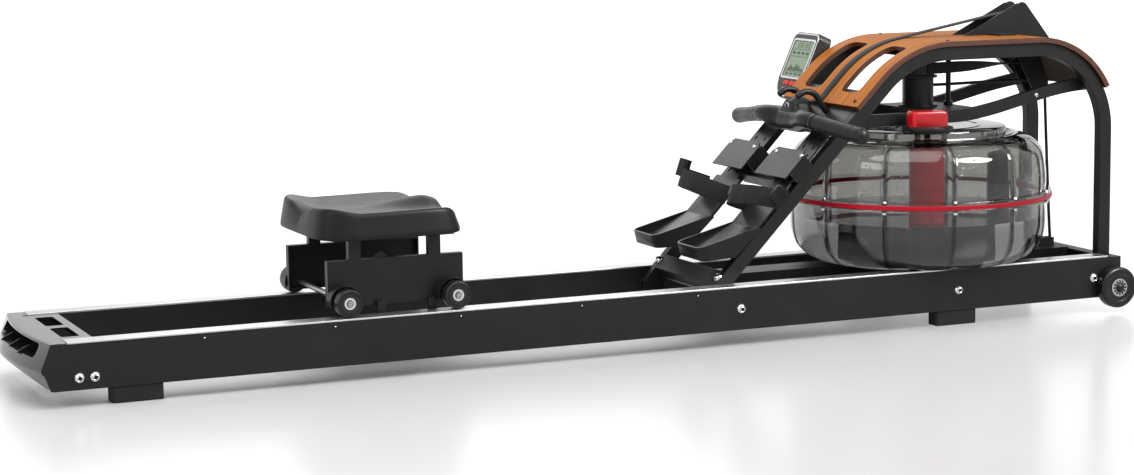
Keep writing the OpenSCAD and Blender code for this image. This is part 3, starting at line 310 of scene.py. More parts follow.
def arc(centre, radius, start, end, count):
    """Points of part of a circle, as two columns."""
    a = np.linspace(start, end, count)[:, None]
    return np.asarray(centre) + radius * np.hstack([np.cos(a), np.sin(a)])


def outline(half_width, half_height, radii, per_corner):
    """Rectangle with a quarter circle about each corner's centre, from the upper right one on."""
    turns = zip((1, -1, -1, 1), (1, 1, -1, -1), radii, range(4))
    return np.vstack([arc((x * (half_width - r), y * (half_height - r)), r,
                          q * math.pi / 2, (q + 1) * math.pi / 2, per_corner)
                      for x, y, r, q in turns])


def rounded(width, height, radius, per_corner=5):
    """Outline of a rectangle with four equal round corners."""
    return outline(width / 2, height / 2, [radius] * 4, per_corner)


# %% [markdown]
# ## Helpers for pieces
# A piece is a mesh with a finish, soft edges and the body that it rides on. It may stand for
# solids, which are then hidden.

# %% Pieces made of shapes, and softened copies of solids


def together(shapes):
    """One list of points and one of faces from several shapes."""
    points, faces, start = [], [], 0
    for some_points, some_faces in shapes:
        flat = np.asarray(some_points, float).reshape(-1, 3)
        points.append(flat)
        faces += [[i + start for i in face] for face in some_faces]
        start += len(flat)
    return np.vstack(points), faces


def skin_mesh(name, shapes, uv=None):
    """A mesh of shapes, with doubled points merged and its faces turned outwards."""
    points, faces = together(shapes)
    mesh, form = bpy.data.meshes.new(name), bmesh.new()
    mesh.from_pydata(points.tolist(), [], faces)
    if uv is not None:
        corners = np.empty(len(mesh.loops), int)
        mesh.loops.foreach_get("vertex_index", corners)
        layer = mesh.uv_layers.new(name="UVMap")
        layer.data.foreach_set("uv", np.asarray(uv, float).reshape(-1, 2)[corners].ravel())
    form.from_mesh(mesh)
    bmesh.ops.remove_doubles(form, verts=form.verts, dist=1e-6)
    bmesh.ops.recalc_face_normals(form, faces=form.faces)
    if form.calc_volume(signed=True) < 0:  # an open bowl can fool the line above
        bmesh.ops.reverse_faces(form, faces=form.faces)
    form.to_mesh(mesh)
    form.free()
    return mesh


def dress(piece, finish, body, stands_for, bevel, sharp):
    """Gives a mesh object its finish, soft edges and body, and hides the solids it stands for."""
    piece.data.materials.append(finish)
    piece.data.shade_smooth()
    piece.data.set_sharp_from_angle(angle=math.radians(sharp))
    if bevel:
        edges = piece.modifiers.new("soft_edges", "BEVEL")
        edges.width, edges.segments = bevel / 1000, 3
        edges.limit_method, edges.angle_limit = "ANGLE", math.radians(sharp)
        edges.harden_normals = True
    if body:
        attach(piece, body)
    if stands_for:
        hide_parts(*stands_for)
    return piece


def make_piece(name, shapes, finish, body="frame", slot=None, stands_for=(), uv=None, bevel=0,
               sharp=35):
    """Builds and dresses a piece from a list of shapes."""
    return dress(put(name, skin_mesh(name, shapes, uv)), finish, body, stands_for, bevel,
                 sharp)


def soften(node, finish, bevel=0.8):
    """A copy of a solid, with doubled points merged, flat faces joined and sharp edges rounded."""
    source, name = frame["nodes"][node], node + "_shaped"
    mesh, form = bpy.data.meshes.new(name), bmesh.new()
    form.from_mesh(source.data)
    bmesh.ops.remove_doubles(form, verts=form.verts, dist=2e-5)
    bmesh.ops.dissolve_limit(form, angle_limit=math.radians(0.4), verts=form.verts,
                             edges=form.edges)
    form.to_mesh(mesh)
    form.free()
    return dress(put(name, mesh), finish, source["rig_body"], (node,), bevel, 30)


def two_finishes(piece, other, picks):
    """Adds a finish and gives it to the faces that a test picks."""
    piece.data.materials.append(other)
    for face in piece.data.polygons:
        face.material_index = int(picks(face))

# %% [markdown]
# ## Finishes
# A finish is one Principled shader with noise, grain or weave worked out from the piece's own
# coordinates. A short class holds the calls that most of them share: a noise, a ramp of colours,
# a bump. Numbers that are the same all over go straight on the shader's sockets.

# %% A class for finishes


def seen(red, green, blue):
    """Linear colour for one that a screen shows with these values from 0 to 255."""
    c = np.array([red, green, blue]) / 255
    return tuple(np.where(c < 0.04045, c / 12.92, ((c + 0.055) / 1.055) ** 2.4)) + (1.0,)


def shade(colour, factor):
    """A darker or lighter colour that is as opaque."""
    return tuple(c * factor for c in colour[:3]) + (1.0,)


class Finish:
    """One material, with short calls for the nodes that its pattern is made of."""

    def __init__(self, name, place_from="Object", **sockets):
        self.material = bpy.data.materials.new(name)
        self.material.use_nodes = True
        self.tree = self.material.node_tree
        self.shader = self.tree.nodes["Principled BSDF"]
        self.place = self.node("ShaderNodeTexCoord").outputs[place_from]
        for socket, value in sockets.items():
            self.shader.inputs[socket.replace("_", " ")].default_value = value

    def node(self, kind, values=(), **settings):
        """Adds a node to this finish."""
        return new_node(self.tree, kind, values, **settings)

    def maths(self, kind, a, b=0.0):
        """One arithmetic step in this finish."""
        return add_maths(self.tree, kind, a, b)

    def split(self):
        """The coordinates one by one."""
        return self.node("ShaderNodeSeparateXYZ", {0: self.place}).outputs

    def stretched(self, scale):
        """The coordinates, multiplied by a scale along each axis."""
        return self.node("ShaderNodeMapping", {"Vector": self.place, "Scale": scale}).outputs[0]

    def noise(self, scale, detail=3.0, stretch=None, rough=0.5):
        """Soft random values round a half; scale is in waves per metre."""
        where = self.place if stretch is None else self.stretched(stretch)
        return self.node("ShaderNodeTexNoise", {"Vector": where, "Scale": scale, "Detail": detail,
                                                "Roughness": rough}).outputs["Fac"]

    def cells(self, scale):
        """Distance from the middle of the nearest of many random cells."""
        return self.node("ShaderNodeTexVoronoi",
                         {"Vector": self.place, "Scale": scale}).outputs["Distance"]

    def ramp(self, value, *stops):
        """Colours at places from 0 to 1, blended between them."""
        node = self.node("ShaderNodeValToRGB", {0: value})
        band = node.color_ramp.elements
        while len(band) < len(stops):
            band.new(0.5)
        for element, (at, colour) in zip(band, stops):
            element.position, element.color = at, colour
        return node.outputs["Color"]

    def mix(self, share, a, b, **settings):
        """Two colours blended."""
        return self.node("ShaderNodeMix", {0: share, 6: a, 7: b}, data_type="RGBA",
                         **settings).outputs[2]

    def span(self, value, low, high, start=0.3, end=0.7):
        """A number that goes from low to high while the value goes from start to end."""
        return self.node("ShaderNodeMapRange", {0: value, 1: start, 2: end, 3: low,
                                                4: high}).outputs[0]

    def use(self, socket, output):
        """Links an output to one of the shader's sockets."""
        self.tree.links.new(output, self.shader.inputs[socket])
        return self

    def bump(self, *layers):
        """Stacks bumps, each a height from 0 to 1 and the millimetres that it stands for."""
        last = None
        for height, millimetres in layers:
            values = {"Height": height, "Distance": millimetres / 1000, "Strength": 1.0}
            if last is not None:
                values["Normal"] = last
            last = self.node("ShaderNodeBump", values).outputs[0]
        return self.use("Normal", last)


# %% [markdown]
# Powder coat is a thin baked paint: nearly black, satin, with a fine orange-peel surface. Its
# reflection is kept low, because the photograph shows the rails' sides as an even dark grey.
# Moulded plastics are the same idea with other gloss, and rubber has none.

# %% Paint, plastics and rubber


def moulded(name, colour, rough, grain=900.0, depth=0.02, specular=0.3, mottle=0.12, **sockets):
    """A dark coat or plastic: fine grain as bump, with slow changes of colour and gloss."""
    finish, colour = Finish(name, Specular_IOR_Level=specular, **sockets), seen(*colour)
    finish.use("Base Color", finish.ramp(finish.noise(7.0, 4.0), (0.3, shade(colour, 1 - mottle)),
                                         (0.7, shade(colour, 1 + mottle))))
    finish.use("Roughness", finish.span(finish.noise(26.0), rough * 0.88, rough * 1.12))
    finish.bump((finish.noise(grain, 2.0), depth))
    return finish.material


paint = moulded("powder_coat", (26, 25, 25), 0.42, 1100.0, 0.016, 0.2)
gloss_cap = moulded("gloss_cap", (26, 25, 26), 0.2, 500.0, 0.004, 0.5, Coat_Weight=0.25,
                    Coat_Roughness=0.1)
dark_plastic = moulded("dark_plastic", (22, 22, 22), 0.34, 1400.0, 0.012, 0.2)
rubber = moulded("rubber", (30, 30, 30), 0.75, 1600.0, 0.03, 0.2)
grip_rubber = moulded("grip_rubber", (34, 33, 32), 0.4, 2200.0, 0.02, 0.17)
tyre_rubber = moulded("tyre_rubber", (12, 12, 12), 0.3, 1500.0, 0.01)
roller_rubber = moulded("roller_rubber", (26, 26, 26), 0.3, 1500.0, 0.015)
hub_grey = moulded("hub_grey", (176, 176, 176), 0.4, 1500.0, 0.01, 0.35)
plate_grey = moulded("plate_grey", (44, 43, 41), 0.36, 1700.0, 0.012, 0.22)
side_grey = moulded("side_grey", (28, 28, 28), 0.36, 1100.0, 0.016, 0.18)
arm_plastic = moulded("arm_plastic", (30, 30, 31), 0.4, 1500.0, 0.015)

# %% [markdown]
# Bare metals have no colour of their own under the reflection, so they are metallic with a pale
# base. The running strips are drawn through a die, which leaves fine lines along them. The lines
# are noise stretched along X, used as a bump and as a change in roughness.

# %% Metals


def metal(name, colour, rough, stretch=(1.0, 1.0, 1.0), depth=0.004):
    """Polished or drawn metal: stretched noise scratches its gloss and its surface."""
    finish = Finish(name, Metallic=1.0)
    scratch = finish.noise(700.0, 3.0, stretch)
    finish.use("Base Color", finish.ramp(finish.noise(11.0), (0.35, shade(colour, 0.88)),
                                         (0.65, shade(colour, 1))))
    finish.use("Roughness", finish.span(scratch, rough * 0.75, rough * 1.3))
    finish.bump((scratch, depth))
    return finish.material


strip_metal = metal("drawn_aluminium", (0.55, 0.555, 0.56), 0.3, (0.01, 1.0, 1.0))
chrome = metal("chrome", (0.6, 0.6, 0.61), 0.12, depth=0.001)
zinc = metal("zinc_steel", (0.42, 0.43, 0.44), 0.34)
bearing_metal = metal("bearing_metal", (0.6, 0.6, 0.6), 0.25)
bezel_metal = metal("bezel_metal", (0.75, 0.76, 0.77), 0.2)

# %% [markdown]
# The panel over the arch is bent plywood with a cherry veneer, drawn far darker underneath. Grain
# runs along the bend, so it is drawn in the panel's own flat coordinates: distance along the bend
# and across it. Long streaks, finer pores and a slow change of tone are laid over each other
# under a satin lacquer. The cut edge shows the layers: light wood between dark glue lines.

# %% Wood


def veneer(name, brightness=1.0):
    """Streaks along the first direction of the panel's own coordinates; a factor below one darkens
    every colour.
    """
    finish = Finish(name, "UV", Specular_IOR_Level=0.07)
    wander = finish.noise(3.0, 2.0, (0.6, 3.0, 1.0))
    streak = finish.noise(1.0, 6.0, (2.2, 46.0, 1.0), 0.62)
    figure = finish.node("ShaderNodeTexWave", {
        "Vector": finish.stretched((0.9, 9.0, 1.0)), "Scale": 1.6, "Distortion": 7.0,
        "Detail": 3.0, "Detail Scale": 1.2}, bands_direction="Y").outputs["Fac"]
    pores = finish.noise(1.0, 3.0, (70.0, 1300.0, 1.0), 0.6)
    weighed = [finish.maths("MULTIPLY", part, weight)
               for part, weight in ((streak, 0.74), (figure, 0.12), (wander, 0.14))]
    tone = finish.maths("ADD", finish.maths("ADD", *weighed[:2]), weighed[2])
    stops = ((0.25, (112, 54, 16)), (0.45, (162, 94, 30)), (0.6, (176, 107, 40)),
             (0.8, (200, 130, 58)))
    colour = finish.ramp(tone, *[(at, seen(*(v * brightness for v in rgb))) for at, rgb in stops])
    pore_mark = finish.ramp(pores, (0.3, (0.7, 0.65, 0.6, 1)), (0.42, (1, 1, 1, 1)))
    finish.use("Base Color", finish.mix(1.0, colour, pore_mark, blend_type="MULTIPLY"))
    finish.use("Roughness", finish.span(streak, 0.46, 0.6))
    finish.bump((pores, 0.02), (streak, 0.03))
    return finish.material


def ply_edge():
    """Layers through the thickness, which the second direction of the coordinates measures."""
    finish = Finish("ply_edge", "UV", Roughness=0.55, Specular_IOR_Level=0.3)
    layer = finish.maths("FRACT", finish.maths("MULTIPLY", finish.split()["Y"], 400.0))
    grain = finish.noise(1.0, 3.0, (60.0, 900.0, 1.0))
    tone = finish.maths("ADD", layer, finish.maths("MULTIPLY", grain, 0.3))
    finish.use("Base Color", finish.ramp(
        tone, (0.18, seen(26, 12, 8)), (0.42, seen(92, 42, 16)), (0.9, seen(116, 58, 24)),
        (1.0, seen(36, 18, 10))))
    finish.bump((tone, 0.05))
    return finish.material


# the underside is the same veneer with every colour at 0.28 of its value
wood_face, wood_under = veneer("cherry_veneer"), veneer("dark_underside_veneer", 0.28)
wood_edge = ply_edge()

# %% [markdown]
# Webbing is woven: two sets of ribs cross, and each runs over and under the other. In the strap's
# own coordinates the ribs are two waves, and their product gives the pattern of bumps. The seat is
# moulded foam with a skin like fine leather, and it is a little paler where it is rubbed.

# %% Webbing and seat skin


def webbing(name, colour, along, across, rough=0.72, depth=0.16):
    """Crossing ribs: sine along the strap times sine across it, with a little fuzz."""
    finish = Finish(name, "UV", Specular_IOR_Level=0.2, Sheen_Weight=0.08, Sheen_Roughness=0.5)
    waves = [finish.maths("SINE", finish.maths("MULTIPLY", part, count))
             for part, count in zip(finish.split()[:2], (along, across))]
    weave = finish.maths("MULTIPLY", finish.maths("MULTIPLY", *waves), 0.5)
    weave = finish.maths("ADD", weave, 0.5)
    fuzz = finish.noise(2600.0, 2.0)
    # the weave's hollows get painted shade and its crests painted light: half and one and a half
    # times the colour
    finish.use("Base Color", finish.ramp(weave, (0.1, shade(seen(*colour), 0.5)),
                                         (0.9, shade(seen(*colour), 1.5))))
    finish.use("Roughness", finish.span(fuzz, rough * 0.9, rough * 1.1))
    finish.bump((weave, depth), (fuzz, 0.02))
    return finish.material


belt_web = webbing("belt_webbing", (22, 22, 23), 2600.0, 3400.0)
strap_web = webbing("strap_webbing", (26, 26, 26), 3200.0, 2600.0)
cord_braid = webbing("cord_braid", (28, 28, 29), 2400.0, 25.0, 0.6, 0.1)


def seat_skin():
    """Fine pebbles as bump, slow mottling, and a paler tone where slow noise is high."""
    finish = Finish("seat_skin", Specular_IOR_Level=0.15, Sheen_Weight=0.03, Sheen_Roughness=0.4,
                    Sheen_Tint=(0.95, 0.88, 0.85, 1))
    slow = finish.noise(9.0, 5.0, rough=0.6)
    finish.use("Base Color", finish.ramp(slow, (0.25, seen(22, 20, 19)), (0.75, seen(29, 26, 25))))
    finish.use("Roughness", finish.span(slow, 0.36, 0.48))
    finish.bump((finish.cells(620.0), 0.05), (finish.noise(60.0), 0.12))
    return finish.material


seat_foam = seat_skin()

# %% [markdown]
# The tank is smoked clear plastic. Light crosses four walls on its way through, so each wall takes
# only part of it. Drops cling inside the upper shell: small round cells, kept where a slow noise
# is high, lift the surface and catch the light. Water is clear with a faint grey cast, and red
# parts let a little light through.

# %% Clear plastic, water and red parts


def clear(name, tint, index, drops=False, ribs=False, veil=0.0):
    """Glass-like finish: the tint is what each wall lets through; ribs get lines of painted shade.

    The veil is the share of light that the grey wall itself scatters.
    """
    finish = Finish(name, Base_Color=tint, IOR=index, Roughness=0.01, Transmission_Weight=1 - veil)
    layers = [(finish.noise(16.0, 2.0), 0.25)]
    if ribs:
        split = finish.split()
        from_axis = finish.maths("SUBTRACT", split["X"], (TANK_X - MIDDLE_X) / 1000)
        turn = finish.maths("ARCTAN2", split["Y"], from_axis)
        steps = finish.maths("ADD", finish.maths("MULTIPLY", turn, 6 / math.pi), 12.0)
        away = finish.maths("ABSOLUTE", finish.maths("SUBTRACT", finish.maths("FRACT", steps), 0.5))
        # the near-black line along each rib is painted shade for the dark edge a rib shows in clear
        # plastic, far darker than its extra thickness would make it
        finish.use("Base Color", finish.ramp(away, (0.012, (0.07, 0.07, 0.07, 1)), (0.045, tint)))
    if drops:
        bead = finish.span(finish.cells(120.0), 1.0, 0.0, 0.0, 0.24)
        where = finish.span(finish.noise(13.0), 0.0, 1.0, 0.5, 0.6)
        layers.append((finish.maths("MULTIPLY", bead, where), 0.9))
    finish.bump(*layers)
    return finish.material


tank_upper_clear = clear("smoked_upper", (0.4, 0.395, 0.38, 1), 1.46, drops=True, ribs=True)
tank_lower_clear = clear("smoked_lower", (0.5, 0.5, 0.495, 1), 1.46, ribs=True, veil=0.02)
water_clear = clear("water", (0.7, 0.71, 0.72, 1), 1.33)
selector_red = moulded("selector_red", (204, 8, 26), 0.34, 700.0, 0.01, 0.35, 0.06, Coat_Weight=0.1)
seal_red = moulded("seal_red", (180, 6, 34), 0.4, 900.0, 0.02, 0.2, 0.06)
tube_red = moulded("tube_red", (236, 14, 34), 0.22, 500.0, 0.01, 0.5, 0.1, Subsurface_Weight=0.2,
                   Subsurface_Scale=0.02)
tube_dark = moulded("tube_dark", (14, 14, 15), 0.2, 500.0, 0.01)
key_red = moulded("key_red", (200, 54, 44), 0.5, 1500.0, 0.01, 0.3, 0.06)
key_grey = moulded("key_grey", (150, 152, 156), 0.5, 1500.0, 0.01, 0.3, 0.06)
glass_green = moulded("display_green", (114, 134, 106), 0.3, 300.0, 0.002, 0.5, 0.08,
                      Coat_Weight=0.6, Coat_Roughness=0.04)
glass_ink = moulded("display_ink", (44, 66, 46), 0.4, 300.0, 0.002, 0.3, 0.05)
shell_black = moulded("console_shell", (36, 36, 38), 0.3, 1500.0, 0.015, 0.45)
print(len(bpy.data.materials), "finishes")

# %% [markdown]
# ## Floor
# A wide sheet of pale, faintly polished floor takes the soft shadow and a weak mirror image of
# the machine. Far to the back and to the front end it glows, so that it meets the white sky
# without an edge.

# %% The floor
floor_finish = Finish("studio_floor", Roughness=0.2, Specular_IOR_Level=0.35,
                      Emission_Color=(1, 1, 1, 1))
floor_tone = floor_finish.ramp(floor_finish.noise(2.0), (0.3, (0.8, 0.8, 0.8, 1)),
                               (0.7, (0.82, 0.82, 0.82, 1)))
far = floor_finish.split()
glow = floor_finish.maths("MAXIMUM", floor_finish.span(far["Y"], 0.0, 1.0, 0.4, 2.2),
                          floor_finish.span(far["X"], 0.0, 0.6, 0.1, 1.2))
floor_finish.use("Emission Strength", glow)
floor_finish.use("Base Color", floor_finish.mix(glow, floor_tone, (0, 0, 0, 1)))
floor_mesh = bpy.data.meshes.new("floor")
floor_mesh.from_pydata([(-9, -6, 0), (14, -6, 0), (14, 30, 0), (-9, 30, 0)], [], [(0, 1, 2, 3)])
floor_mesh.materials.append(floor_finish.material)
floor = put("floor", floor_mesh)
print("floor ready")

# %% [markdown]
# ## Rails, arch and other folded or extruded parts
# These are tubes, plates and extrusions, and the solids already have their exact form. Real ones
# have rolled or broken edges, which catch light, so each is copied, cleaned and bevelled. Turned
# pulleys and rods are shown as they are, with a finish.

# %% Parts that need soft edges and a finish, or a finish alone
for finish, soft_parts in [
    (paint, {"rail_near": 2.2, "rail_far": 2.2}), (strip_metal, {"running_strips": 0.6}),
    (gloss_cap, {"cap_tray": 0.8}),
    (paint, {"cross_members": 1.5, "centre_beam": 1.0, "arch_near": 2.4, "arch_far": 2.4,
             "leg_crossbars": 1.8}),
    (plate_grey, {"hook_plate": 0.8}),
    (paint, {"bearing_beams": 1.6, "top_plate": 0.8, "lower_plate": 0.8, "horn_plates": 0.8,
             "idler_frame": 0.8}),
    (side_grey, {"carriage": 0.7}), (dark_plastic, {"drum": 0.4}),
    (arm_plastic, {"console_arm": 0.8}), (rubber, {"feet": 1.6}), (shell_black, {"console": 1.6}),
    (key_red, {"key_red_left": 0.8, "key_red_right": 0.8}),
    (key_grey, {"key_grey_left": 0.8, "key_grey_right": 0.8}),
]:
    for node, width in soft_parts.items():
        soften(node, finish, width)
toes = soften("toe_plates", plate_grey)  # with side faces as black as the frame
two_finishes(toes, paint, lambda face: abs(face.normal.y) > 0.9)
for finish, bare_parts in [
    (dark_plastic, ("tie_rod", "horn_pulley", "belt_idler", "cord_idler", "cord_foot_idler",
                    "wheel_axles")),
    (side_grey, ("impeller",)), (chrome, ("tank_bolts",)), (zinc, ("axles",)),
]:
    for node in bare_parts:
        solid = frame["nodes"][node].data
        solid.materials.clear()
        solid.materials.append(finish)
        solid.shade_smooth()
        solid.set_sharp_from_angle(angle=math.radians(32))

# %% [markdown]
# ## Bolt heads
# All the visible bolts have a low dome with a hexagon socket. One is a turned profile: out over
# the rim, up the dome, down into the socket. The rings of the socket are pulled in between six
# corners, which makes it a hexagon, and the large ones have a dark disc deep in it, painted shade
# for the socket's hollow. They are pressed steel, so one shape serves for all sizes. The small
# screws along the rails are dark domes with a bright middle.

# %% Domed bolts


def dome_bolt(at, way, diameter, height):
    """Dome of a sphere through the rim, with a socket whose wall is a hexagon."""
    r = diameter / 2
    ball = (r * r + height * height) / (2 * height)
    out = np.linspace(r, 0.46 * r, 7)
    dome = np.stack([out, height - ball + np.sqrt(ball ** 2 - out ** 2)], 1)
    profile = np.vstack([[(0, -1.0), (r, -1.0)], dome, [(0.42 * r, dome[-1, 1] - 0.3),
                                                        (0.42 * r, 0.25 * height),
                                                        (0, 0.2 * height)]])
    points, faces = turned(profile, 48, at, way)
    turn = np.linspace(0, 2 * math.pi, 48, endpoint=False)
    six = np.cos(math.pi / 6) / np.cos(np.mod(turn, math.pi / 3) - math.pi / 6)
    middle = points[-3:-1].mean(1, keepdims=True)
    points[-3:-1] = middle + (points[-3:-1] - middle) * six[None, :, None]
    return points, faces


def socket_shade(at, way, diameter, height):
    """Dark disc deep in a socket: painted shade for the socket's hollow."""
    r, low, high = 0.19 * diameter, 0.15 * height, 0.62 * height
    return turned([(0, low), (r, low), (r, high), (0, high)], 24, at, way)


LEG_MIDDLE_Y = 124.7
# one rail bolt sits 20.3 past the place where a line 26 under the leg's upper face is 85 high,
# and the bearing beams' middle lines ease up by 49 over a length of 310
leg_bolt_x = slope_xz((85 - LEG_FOOT[1] + 26 * LEG_OFF[1]) / LEG_UP[1], -26)[0] + 20.3
beam_t = (1928.5 - TANK_X - 13) / 310
beam_level = 386.5 + 49 * ease(beam_t)
bright, dark = [], []
for s in (-1, 1):
    side, up, slope = (0, s, 0), (0, 0, 1), (LEG_OFF[0], 0, LEG_OFF[1])
    socketed = [(place(x, s * RAIL_SIDE, z), side, 19, 7) for x, z in
                [(45, 48), (71, 48), (leg_bolt_x, 66.5), (TANK_X - 12, 66.5), (2018, 66.5)]]
    socketed += [(on_leg(16, s * LEG_MIDDLE_Y, 0), slope, 18, 7),
                 (on_leg(284, s * 45, 34), slope, 9, 3.4),
                 (on_leg(284, s * 141, 34), slope, 9, 3.4)]
    screws = [place(x, s * RAIL_SIDE, 97) for x in 256 + 228 * np.arange(5)]
    bright += [dome_bolt(*bolt) for bolt in socketed]
    bright += [dome_bolt(at, side, 2.8, 2.4) for at in screws]
    bright.append(dome_bolt(place(1928.5, s * 102, beam_level), side, 10, 4))
    # dark discs deep in the large sockets: painted shade for their hollows
    dark += [socket_shade(*bolt) for bolt in socketed]
    dark += [dome_bolt(at, side, 6, 2) for at in screws]
    dark += [dome_bolt(place(RAIL_LENGTH, s * LEG_MIDDLE_Y, 329), (1, 0, 0), 14, 4),
             dome_bolt(on_leg(LEG_LENGTH - 58, s * 120, 10), slope, 8, 2.5),
             dome_bolt(place(1886.5, s * 45, 535), up, 10, 3),
             dome_bolt(place(1716, s * 124, 532), up, 8, 2.5)]
make_piece("bright_bolt_heads", bright, chrome, stands_for=("frame_bolts",), sharp=28)
make_piece("dark_bolt_heads", dark, dark_plastic, slot="bright_bolts", sharp=28)
print(len(bright), "bright pieces,", len(dark), "dark pieces")

# %% [markdown]
# ## Rear end cap
# The cap is one moulding that bulges backwards between the rails. Its outline in side view is
# worked out for each place across the machine, with the bulge growing towards the middle. The
# corners of that outline are cut again and again, which rounds them. The hand hold is a pocket
# with round ends, taken out of the skin, and three thin ribs stand in it. A loft with one cut is
# closer to a moulding than boxes would be.

# %% The end cap


def round_corners(corners, times=3, cut=0.2):
    """Open outline whose corners are each replaced by two points, several times. Its ends stay."""
    p = np.asarray(corners, float)
    for _ in range(times):
        step = cut * np.diff(p, axis=0)
        both = np.stack([p[:-1] + step, p[1:] - step], 1)
        p = np.vstack([p[:1], both.reshape(-1, 2)[1:-1], p[-1:]])
    return p


def cap_outline(y, low=28, top=107):
    """X and Z round the cap: foot, underside, crease, lip, edge of the top, and front face."""
    bulge = 1 - (y / RAIL_SIDE) ** 2
    crease, edge = -17 - 25 * bulge, -1.5 - 15 * bulge
    return [(17, low), (2, low), (-3 - 4 * bulge, low + 1), (crease + 6, 54), (crease, 60),
            (crease, 66), (0.55 * crease + 0.45 * edge, 82), (edge - 0.5, top - 4),
            (edge + 0.5, top), (17, top)]


def side_view(line, y):
    """Points in the frame for a line of X and Z, at one place across."""
    return place(line[:, 0], y, line[:, 1])


def from_above(shape, x, y, z):
    """Points in the frame for an outline laid flat round one place."""
    return place(x + shape[:, 0], y + shape[:, 1], z)


across = np.sin(np.linspace(-math.pi / 2, math.pi / 2, 97)) * RAIL_SIDE
cap_skin = loft([side_view(round_corners(cap_outline(y)), y) for y in across])
cap = put("end_cap_shaped", skin_mesh("end_cap_shaped", [cap_skin]))
hold = rounded(262, 23, 9, 7)
hold = loft([place(x, hold[:, 0], 91.5 + hold[:, 1]) for x in (-80.0, -8.0, 10.0)])
pocket = put("pocket_cutter", skin_mesh("pocket_cutter", [hold]))
cutting = cap.modifiers.new("hand_hold", "BOOLEAN")
cutting.object, cutting.operation, cutting.solver = pocket, "DIFFERENCE", "EXACT"
cut = cap.evaluated_get(bpy.context.evaluated_depsgraph_get())
cap.data = bpy.data.meshes.new_from_object(cut)
cap.modifiers.clear()
bpy.data.objects.remove(pocket)
cap.data.materials.clear()
dress(cap, gloss_cap, "frame", ("end_cap",), 0.7, 32)
# its flat ends, beside the rails, are painted like them
two_finishes(cap, paint,
             lambda face: abs(face.normal.y) > 0.98 and abs(face.center.y) > 0.171)
rib = round_corners([(-34, 79), (8, 79), (8, 96), (-14, 92), (-31, 83)], 2)
make_piece("end_cap_ribs", [loft([side_view(rib, y + w) for w in (-2, 2)]) for y in (-66, 0, 66)],
           dark_plastic, slot="gloss_black_plastic", bevel=0.4)
RAIL_MIDDLE, tab = 153.5, rounded(11, 37, 1.0, 3)
make_piece("end_cap_tabs", [loft([from_above(tab, 21.5, s * RAIL_MIDDLE, z)
                                  for z in (104.8, 106.8)]) for s in (-1, 1)],
           gloss_cap, slot="gloss_black_plastic", bevel=0.4)
print("end cap faces:", len(cap.data.polygons))

# %% [markdown]
# ## Seat pad and rollers
# The pad is one foam moulding. Its top is a height worked out from place: raised lobes at the
# rear with a notch between them, a ridge between two channels for the thighs at the front, and
# raised rims. Its sides lean in from a wide lower edge. Rings run from the middle of the underside
# round the edge to the middle of the top, so one grid makes the whole skin.

# %% The seat pad
SEAT_X, PAD_LENGTH, PAD_WIDTH, PAD_LOW = 613.0, 262.0, 282.0, 236.0


def pad_height(x, y):
    """Height of the pad's top over its underside: base, rear lobes, notch, ridge, channels."""
    u, v = 2 * x / PAD_LENGTH, 2 * y / PAD_WIDTH
    front, rear = ease((u + 0.3) / 1.1), ease((-u - 0.42) / 0.56)
    notch = np.maximum(0, 1 - np.abs(y) / 60) * ease((-x - 88) / 40)
    return (36 + 11 * v ** 2 + 14 * rear - 17 * notch + 2 * front * v ** 2
            + 18 * front * np.exp(-(y / 34) ** 2)
            - 4 * front * np.exp(-((np.abs(y) - 66) / 30) ** 2) - 9 * ease((u - 0.75) / 0.3))


def pad_ring(size, share=0.0, low=0.0, drop=0.0):
    """Ring of the pad at a size of its outline, and at a share of the way from low to the top.

    The outline is a superellipse with drawn-in long sides, which flares at its lower edge.
    """
    angle = np.linspace(0, 2 * math.pi, 240, endpoint=False)
    c, s = np.cos(angle), np.sin(angle)
    m = (np.abs(c) ** 6 + np.abs(s) ** 6) ** (-1 / 6)
    flare = 1 + 0.03 * ease((size - 0.94) / 0.06)
    x = flare * size * PAD_LENGTH / 2 * c * m
    y = size * PAD_WIDTH / 2 * s * m * (1 - 0.02 * np.cos(2 * angle))
    return place(SEAT_X - 5 + x, y, PAD_LOW + low + (pad_height(x, y) - low - drop) * share)


pad_rows = [pad_ring(size, low=low) for size, low in [
    (0.01, 0), (0.5, 0), (0.955, 0), (0.982, 0.5), (0.996, 1.9), (1.001, 4.2), (0.999, 9)]]
pad_rows += [pad_ring(0.998 - 0.03 * t, t, 9, 9.5) for t in np.linspace(0.15, 1, 7)]
pad_rows += [pad_ring(size, 1, drop=drop) for size, drop in [
    (0.964, 6.2), (0.957, 3.6), (0.947, 1.6), (0.933, 0.5), (0.912, 0.0)]]
pad_rows += [pad_ring(size, 1) for size in np.linspace(0.88, 0.01, 46)]
seat_pad = make_piece("seat_pad_foam", [loft(pad_rows)], seat_foam, "seat",
                      stands_for=("seat_pad",), sharp=60)
print("pad rings:", len(pad_rows))

# %% [markdown]
# Each roller has a turned tyre with a groove, a bearing ring and a dark screw in its middle. They
# are round all the way, so two profiles turned round the axle make them.

